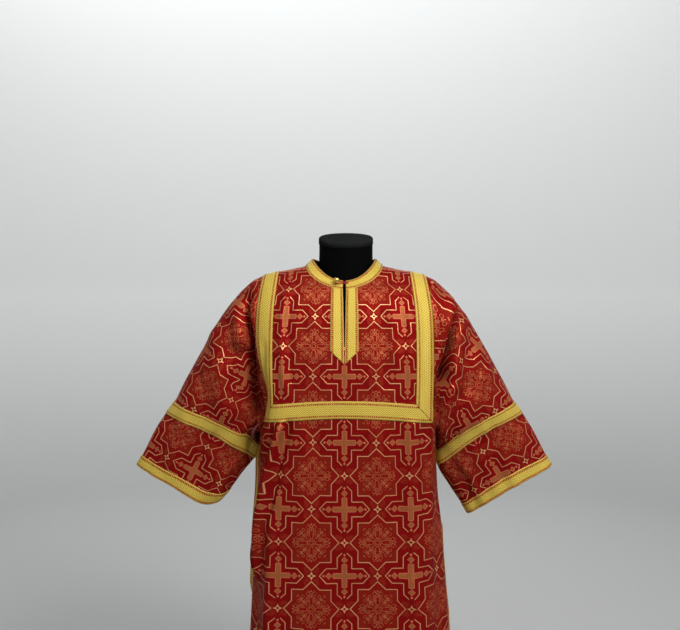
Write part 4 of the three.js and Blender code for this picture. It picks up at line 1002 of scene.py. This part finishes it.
class Maker:
    """Nodes of one material."""

    def __init__(self, name):
        self.material = bpy.data.materials.new(name)
        self.material.use_nodes = True
        self.tree = self.material.node_tree
        self.shader = self.tree.nodes["Principled BSDF"]

    def node(self, kind, inputs=(), **settings):
        """A node with its settings, and its inputs by name or number."""
        made = self.tree.nodes.new(kind)
        for name, value in settings.items():
            setattr(made, name, value)
        for name, value in dict(inputs).items():
            feed(self.tree, made.inputs[name], value)
        return made

    def set(self, **values):
        """Inputs of the material's shader."""
        for name, value in values.items():
            feed(self.tree, self.shader.inputs[name.replace("_", " ")], value)

    def parts(self, vector):
        """The three numbers of a vector."""
        split = self.node("ShaderNodeSeparateXYZ", {0: vector})
        return [Value(self.tree, socket) for socket in split.outputs]

    def cloth(self):
        """The cloth's own measures in mm, across and along."""
        kept = self.node("ShaderNodeAttribute", attribute_name="cloth", attribute_type="GEOMETRY")
        return self.parts(kept.outputs["Vector"])[:2]

    def place(self):
        return self.node("ShaderNodeTexCoord").outputs["Object"]

    def vector(self, *parts):
        return self.node("ShaderNodeCombineXYZ", dict(enumerate(parts))).outputs[0]

    def vector_math(self, operation, first, second):
        return self.node("ShaderNodeVectorMath", {0: first, 1: second}, operation=operation).outputs

    def dot(self, place, centre):
        """Distance from a place to a point."""
        return Value(self.tree, self.vector_math("DISTANCE", place, (*centre, 0))["Value"])

    def ring(self, place, centre, radius):
        """Distance from a place to a circle."""
        return (self.dot(place, centre) - radius).abs()

    def stroke(self, place, *corners):
        """Distance from a place to a chain of straight lines through corners."""
        nearest = None
        for (x0, y0), (x1, y1) in zip(corners, corners[1:]):
            dx, dy = x1 - x0, y1 - y0
            size = dx * dx + dy * dy
            local = self.vector_math("SUBTRACT", place, (x0, y0, 0))[0]
            along = self.vector_math("DOT_PRODUCT", local, (dx / size, dy / size, 0))["Value"]
            share = Value(self.tree, along).math("ADD", 0.0, clamp=True)
            foot = self.node("ShaderNodeVectorMath", {0: (dx, dy, 0), "Scale": share}, operation="SCALE")
            gap = Value(self.tree, self.vector_math("DISTANCE", local, foot.outputs[0])["Value"])
            nearest = gap if nearest is None else nearest.low(gap)
        return nearest

    def noise(self, vector, scale, detail=2.0):
        made = self.node("ShaderNodeTexNoise", {"Vector": vector, "Scale": scale, "Detail": detail})
        return Value(self.tree, made.outputs[0])

    def blend(self, share, first, second):
        """A colour mixed from two, by a share."""
        first, second = ((*c, 1) if isinstance(c, tuple) else c for c in (first, second))
        return self.node("ShaderNodeMix", {0: share, 6: first, 7: second}, data_type="RGBA").outputs[2]

    def bump(self, height, distance, strength, normal=None):
        inputs = {"Height": height, "Distance": distance, "Strength": strength}
        if normal is not None:
            inputs["Normal"] = normal
        return self.node("ShaderNodeBump", inputs).outputs[0]


def srgb(*seen):
    """A colour given as seen on a screen, 0 to 255."""
    return tuple(c / 3294.6 if c <= 10.31475 else ((c / 255 + 0.055) / 1.055) ** 2.4 for c in seen)


# The brocade's repeat in mm and where it starts, and the galloon's steps
REPEAT, BODY_PHASE = 150.0, 15.5
RED_INSET = {WIDE: 6.4, NARROW: 3.9}
TOOTH_STEP, HERRING_STEP, RIB_STEP = 4.3, 4.4, 0.9

GROUND_RED, FIELD_RED = srgb(122, 14, 14), srgb(127, 22, 17)
SHADOW_RED, RAY_BROWN = srgb(84, 6, 12), srgb(112, 52, 30)
# The gold's second and third colours are painted light: painted glints in patches and painted sparkle on
# single threads
GOLD_LOW, GOLD_PAINTED_GLINT, GOLD_PAINTED_SPARKLE = srgb(188, 122, 80), srgb(218, 162, 112), srgb(244, 208, 162)
BROWN_LOW, BROWN_HIGH = srgb(134, 74, 42), srgb(160, 92, 54)
FAINT, ORNAMENT, SALMON = srgb(168, 70, 46), srgb(184, 108, 70), srgb(194, 100, 76)
INNER_LOW, INNER_HIGH = srgb(112, 22, 22), srgb(120, 66, 44)
GALLOON_DEEP, GALLOON_BRIGHT = srgb(128, 102, 24), srgb(243, 214, 94)
GALLOON_EDGE, GALLOON_RED = srgb(168, 128, 62), srgb(140, 6, 10)
JERSEY_LOW, JERSEY_HIGH = (0.0006, 0.0006, 0.0008), (0.0016, 0.0016, 0.0018)
# The paint's darker colour near the floor is painted shade, which fades out up the wall
PAINT_LOW_PAINTED_SHADE, PAINT_HIGH, PAINT_RISE = (0.47, 0.476, 0.476), (0.83, 0.84, 0.84), 1.25


def brocade_lines(m, u, v):
    """Shares of metal thread and of brown ground in the brocade's repeat."""
    half = REPEAT / 2
    a, b = u.fold(half), v.fold(half)
    far, near = a.high(b), a.low(b)
    place = m.vector(far, near, 0.0)
    up_or_down = (b - a).over(0, 0.4)

    # The frame round each cross, open at its upper and lower tip
    frame = m.stroke(place, (57, 0), (41.5, 16.5), (17, 16.5)).line(1.75)
    tip = up_or_down * (5.5 - near).over(0) * far.over(46)
    frame = frame * (1 - tip)

    # The cross, with diamonds at its ends
    cross = (26.5 - far).low(5.6 - near).low((30.5 - far - near) * 0.8)
    cross_body, cross_edge = cross.over(0), cross.abs().line(1.3)
    jewel = 7.6 - (far - 36).abs() - near
    jewel_body, jewel_edge = jewel.over(0), (jewel - 0.6).abs().line(1.2)
    small_jewel = (3.2 - (far - 47.5).abs() - near).over(0)

    # Stars between the frames
    from_star = half - far
    sum_star = from_star + near
    star = 9.0 - sum_star - from_star.low(near) * 1.3
    star_body = (star + 1.2).over(0) * (m.dot(place, (half, 0))).over(2.8)
    chevrons = (sum_star - 19.5).abs().low((sum_star - 15).abs()).line(1.1)
    chevrons = chevrons * near.over(3.5) * near.math("MULTIPLY_ADD", -1.0, 16.0, clamp=True)
    wave = (m.stroke(place, (58, 9.5), (61, 13), (58.5, 17), (62, 20.5)).line(1.1)).high(
        m.stroke(place, (62.5, 8.5), (65, 12), (62.5, 16), (66, 19)).line(1.0))

    # The star-shaped field with its flower
    p, q = half - a, half - b
    out, side = p.high(q), p.low(q)
    flower = m.vector(out, side, 0.0)
    field_edge = (44.5 - out).high(62.3 - out - side * 0.937)
    field = field_edge.over(0)
    field_line = m.stroke(flower, (62.3, 0), (44.5, 19), (44.5, 44.5)).line(1.75)
    rays = (out + side - 56).over(0, 6) * (42.5 - out).over(0)
    rays = rays * ((out - side) * 1.25).math("SINE").over(0.0, 0.8)
    petals = m.ring(flower, (0, 0), 8.6).low(m.ring(flower, (0, 0), 4.6)).line(1.3)
    stems = m.stroke(flower, (9.5, 2), (15, 5), (21, 3.4), (26, 8.5)).line(1.1)
    curls = m.ring(flower, (35, 7.4), 3.9).low(m.ring(flower, (26.5, 7.2), 2.8))
    curls = curls.low(m.ring(flower, (18.5, 6.2), 2.4)).line(0.95)
    heart = (m.dot(flower, (30.5, 0)) - 4.0).abs().line(1.1).high(m.dot(flower, (30.5, 0)).line(3.4))
    crown = m.stroke(flower, (36, 2), (40, 5.4), (42.5, 9)).line(1.0)
    crown = (2.8 - (out - 41).abs() - side).over(0).high(crown)
    leaves = m.stroke(flower, (10, 8.5), (16, 12.5), (19.5, 18)).line(1.2).high(
        m.ring(flower, (20.5, 12), 2.8).line(0.95)).high(m.dot(flower, (23.5, 20.5)).line(3.2)).high(
        m.stroke(flower, (14, 13.2), (20.5, 20.5), (26.5, 25.5)).line(1.1)).high(
        m.ring(flower, (29, 18.5), 3.2).line(0.9)).high(m.dot(flower, (31.5, 29)).line(2.6))
    ornament = petals.high(stems).high(curls).high(heart).high(crown).high(leaves) * field

    bright = frame.high(field_line).high(star_body)
    salmon = cross_edge.high(jewel_edge).high(small_jewel)
    faint = (chevrons.high(wave)) * (1 - field)
    solid = cross_body.high(jewel_body)
    return bright, salmon, faint, solid, ornament, field, rays


def make_brocade():
    """The cloth's outer side: metal thread, brown and salmon ornaments on red, with painted glints and
    painted sparkle on the gold.
    """
    m = Maker("brocade")
    u, v = m.cloth()
    v = v - BODY_PHASE
    bright, salmon, faint, solid, ornament, field, rays = brocade_lines(m, u, v)
    place = m.place()
    glint_patches, wear = m.noise(place, 14), m.noise(place, 160, 3)
    thread = m.noise(m.vector(u * 0.9, v * 0.35, 0.0), 1.6)
    ground = m.blend(field, GROUND_RED, FIELD_RED)
    ground = m.blend(thread.over(0.52, 0.3) * 0.22, ground, SHADOW_RED)
    ground = m.blend(rays * 0.3, ground, RAY_BROWN)
    # Painted glints: patches of the gold thread are lighter, where the metal would catch a lamp
    gold = m.blend(glint_patches.over(0.5, 0.35), GOLD_LOW, GOLD_PAINTED_GLINT)
    # Painted sparkle: single threads of the gold lightened towards cream, as if they reflected a lamp
    gold = m.blend(thread.over(0.6, 0.16) * 0.6, gold, GOLD_PAINTED_SPARKLE)
    brown = m.blend(thread.over(0.5, 0.4), BROWN_LOW, BROWN_HIGH)
    colour = m.blend(faint * 0.55, ground, FAINT)
    colour = m.blend(ornament * (wear.over(0.45, 0.3) * 0.55 + 0.35), colour, ORNAMENT)
    colour = m.blend(bright, m.blend(salmon, m.blend(solid, colour, brown), SALMON), gold)
    metal = bright.high(solid * 0.25).high(salmon * 0.25).high(ornament * 0.75).high(faint * 0.3)
    weave = (u * 7.4).math("SINE") * (v * 7.4).math("SINE") * 0.12
    relief = m.bump(metal * 0.5 + weave + thread * 0.35, 0.0006, 0.55)
    m.set(Base_Color=colour, Metallic=metal * 0.36 + 0.16,
          Roughness=0.4 - metal * 0.1 + (thread - 0.5) * 0.16,
          Normal=m.bump(m.noise(place, 38), 0.006, 0.35, relief), IOR=1.45, Specular_IOR_Level=0.04,
          Specular_Tint=(0.55, 0.24, 0.18, 1))
    return m.material


def make_brocade_back():
    """The cloth's inner side: the pattern's floats show dull and brown on red."""
    m = Maker("brocade_inner_side")
    u, v = m.cloth()
    half = REPEAT / 2
    a, b = u.fold(half), (v - BODY_PHASE).fold(half)
    marks = ((a - b).abs() * 0.4).math("SINE").over(0.4, 0.6) * 0.35
    thread = m.noise(m.vector(u, v * 0.4, 0.0), 1.4)
    m.set(Base_Color=m.blend(marks + thread * 0.2, INNER_LOW, INNER_HIGH), Roughness=0.8, Sheen_Weight=0.1,
          Normal=m.bump(thread, 0.0004, 0.5))
    return m.material


def make_galloon(name, width):
    """Yellow metallic braid with toothed red lines along both edges, and a corded edge."""
    m = Maker(name)
    s, t = m.cloth()
    away = s.abs()
    tooth = ((t + away * 0.5) * (2 * math.pi / TOOTH_STEP)).math("SINE")
    red = (away - (width / 2 - RED_INSET[width])).abs().line(3.8)
    red = red * tooth.math("MULTIPLY_ADD", 1.1, 1.0, clamp=True)
    edge = (away - (width / 2 - 1.1)).abs().line(1.5, 0.7)
    groove = (away - (width / 2 - 2.6)).abs().line(0.7, 0.6)
    herring = ((s + t.fold(6)) * (2 * math.pi / HERRING_STEP)).math("SINE")
    ribs = (t * (2 * math.pi / RIB_STEP)).math("SINE")
    grain = m.noise(m.vector(s, t, 0.0), 0.9, 3)
    gold = m.blend(herring.over(0, 0.9) * 0.6 + grain * 0.25 + 0.08, GALLOON_DEEP, GALLOON_BRIGHT)
    gold = m.blend(edge * 0.55 + groove * 0.35, gold, GALLOON_EDGE)
    relief = herring * 0.6 + ribs * 0.2 + red * -0.25 + grain * 0.5
    m.set(Base_Color=m.blend(red, gold, GALLOON_RED), Metallic=(1 - red) * 0.3,
          Roughness=0.46 + grain * 0.16 + red * 0.3, Specular_IOR_Level=0.3,
          Normal=m.bump(relief, 0.0005, 0.6))
    return m.material


def make_plain(name, colour, roughness, grain, metallic=0.0, spread=0.25, coat=0.0, sheen=0.0, specular=0.5):
    """A finish of one colour with a fine grain."""
    m = Maker(name)
    noise = m.noise(m.place(), grain, 4)
    lighter = tuple(min(1, c * (1 + 2 * spread)) for c in colour)
    m.set(Base_Color=m.blend(noise, colour, lighter), Roughness=(noise - 0.5) * 0.2 + roughness,
          Normal=m.bump(noise, 0.0004, 0.4), Metallic=metallic, Coat_Weight=coat, Sheen_Weight=sheen,
          Specular_IOR_Level=specular)
    return m.material


def make_jersey():
    """The form's black jersey cover."""
    m = Maker("form_jersey")
    x, y, z = m.parts(m.place())
    knit = (z * 2600).math("SINE") * ((x.abs() + y.abs()) * 2200).math("SINE")
    fuzz = m.noise(m.place(), 420, 3)
    m.set(Base_Color=m.blend(fuzz * 0.6, JERSEY_LOW, JERSEY_HIGH),
          Normal=m.bump(knit * 0.4 + fuzz, 0.0003, 0.6),
          Roughness=0.8, Specular_IOR_Level=0.04)
    return m.material


def make_paint():
    """The studio's pale grey paint, with painted shade that darkens it towards the floor."""
    m = Maker("studio_paint")
    # Painted shade: the paint darkens from the wall's lower part down to the floor
    up = m.parts(m.place())[2].math("MULTIPLY", 1 / PAINT_RISE, clamp=True)
    m.set(Base_Color=m.blend(up, PAINT_LOW_PAINTED_SHADE, PAINT_HIGH), Roughness=0.9, Specular_IOR_Level=0.1)
    return m.material


brocade, brocade_back = make_brocade(), make_brocade_back()
galloons = {WIDE: make_galloon("galloon_40", WIDE), NARROW: make_galloon("galloon_27", NARROW)}
form_black = make_jersey()
cap_grey = make_plain("cap_lacquer", (0.011, 0.0115, 0.012), 0.8, grain=30, specular=0.0)
stand_black = make_plain("stand_paint", (0.009, 0.009, 0.01), 0.38, grain=240, coat=0.3)
gilt = make_plain("gilt", (0.75, 0.47, 0.13), 0.24, grain=900, metallic=1.0, spread=0.1)
loop_red = make_plain("loop_cord", srgb(150, 16, 22), 0.6, grain=2600, sheen=0.3)

make_form()
pole_low, pole_top = BASE_CROWN + PIECE_GAP, FORM_LOW - PIECE_GAP
pole = [(0, pole_low), (POLE_RADIUS, pole_low), (POLE_RADIUS, pole_top), (0, pole_top)]
turned("pole", rounded(pole, 1.2), 64, stand_black, "stand_pole")
base = [(0, 0), (BASE_RADIUS, 0), (BASE_RADIUS, BASE_EDGE), (60, BASE_CROWN), (0, BASE_CROWN)]
turned("base_plate", rounded(base, 3), 128, stand_black, "stand_base")

for face in OUTWARD:
    make_band("yoke_band_" + face, yoke_cross_band(face), WIDE)
    make_band("hem_band_" + face, hem_band(face), WIDE)
make_band("neck_band_back", neck_band("back", 0), NARROW)
for word, side in SIDES:
    for node, stretches, width in (
        ("yoke_band_", yoke_side_band(side), WIDE),
        ("side_band_", side_seam_band(side), WIDE),
        ("neck_band_front_", neck_band("front", side), NARROW),
        ("placket_band_", placket_band(side), NARROW),
    ):
        make_band(node + word, stretches, width)
        node + word
    sleeve_trim(side, "sleeve_band_" + word, MID_BAND, WIDE)
    sleeve_trim(side, "cuff_band_" + word, CUFF_BAND, NARROW)

make_panel("front")
make_panel("back")
for word, side in SIDES:
    make_sleeve(side, "sleeve_" + word)
make_button()
make_loop()

# Studio: a round pale floor that turns up into a wall, well away from the part on every side
ROOM, RISE, CURVE = 5.2, 6.4, 1.4
bend = np.linspace(0.05, math.pi / 2, 24)
corner = [(ROOM - CURVE * (1 - math.sin(b)), CURVE * (1 - math.cos(b))) for b in bend]
cove = spun([(0, 0), (ROOM - CURVE, 0), *corner, (ROOM, RISE)], 160)
bmesh.ops.reverse_faces(cove, faces=cove.faces)
cove_mesh = bpy.data.meshes.new("studio_cove")
cove.to_mesh(cove_mesh)
cove.free()
cove_mesh.shade_smooth()
studio = bpy.data.objects.new("studio_cove", cove_mesh)
bpy.context.scene.collection.objects.link(studio)
cove_mesh.materials.append(make_paint())
studio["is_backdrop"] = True

world = bpy.data.worlds.new("studio_air")
world.use_nodes = True
world.node_tree.nodes["Background"].inputs[0].default_value = (0.86, 0.93, 1.0, 1)
world.node_tree.nodes["Background"].inputs[1].default_value = 0.1
bpy.context.scene.world = world
bpy.context.scene.view_settings.view_transform = "Standard"


def area_light(name, place, aim, size, power, colour):
    data = bpy.data.lights.new(name, "AREA")
    data.shape, data.size, data.size_y = "RECTANGLE", *size
    data.energy, data.color = power, colour
    lamp = bpy.data.objects.new(name, data)
    lamp.location = place
    lamp.rotation_euler = (Vector(aim) - Vector(place)).to_track_quat("-Z", "Y").to_euler()
    bpy.context.scene.collection.objects.link(lamp)


area_light("window", (1.35, -2.2, 3.1), (0, 0, 1.25), (0.9, 0.8), 90, (1.0, 0.985, 0.96))
area_light("ceiling", (0.0, -1.3, 3.2), (0, 0, 1.25), (1.6, 1.0), 22, (1.0, 0.98, 0.95))
area_light("left_strip", (-2.3, -1.2, 1.9), (0, 0, 1.1), (0.4, 1.6), 5, (0.96, 0.98, 1.0))
area_light("back_fill", (0.2, 3.0, 2.4), (0, 0, 1.0), (2.4, 1.4), 15, (1.0, 0.99, 0.97))
area_light("wall_wash", (-0.4, 2.6, 5.4), (-0.2, 5.2, 2.8), (4.4, 0.8), 118, (0.99, 1.0, 1.0))

lens = bpy.data.cameras.new("camera")
lens.lens, lens.sensor_width = LENS, 36
camera = bpy.data.objects.new("camera", lens)
camera.location = CAMERA_PLACE
camera.rotation_euler = (math.radians(90 - CAMERA_TIP), 0, 0)
bpy.context.scene.collection.objects.link(camera)
bpy.context.scene.camera = camera

[[list(map(float, corner)) for corner in box] for box in (cad_box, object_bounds())]
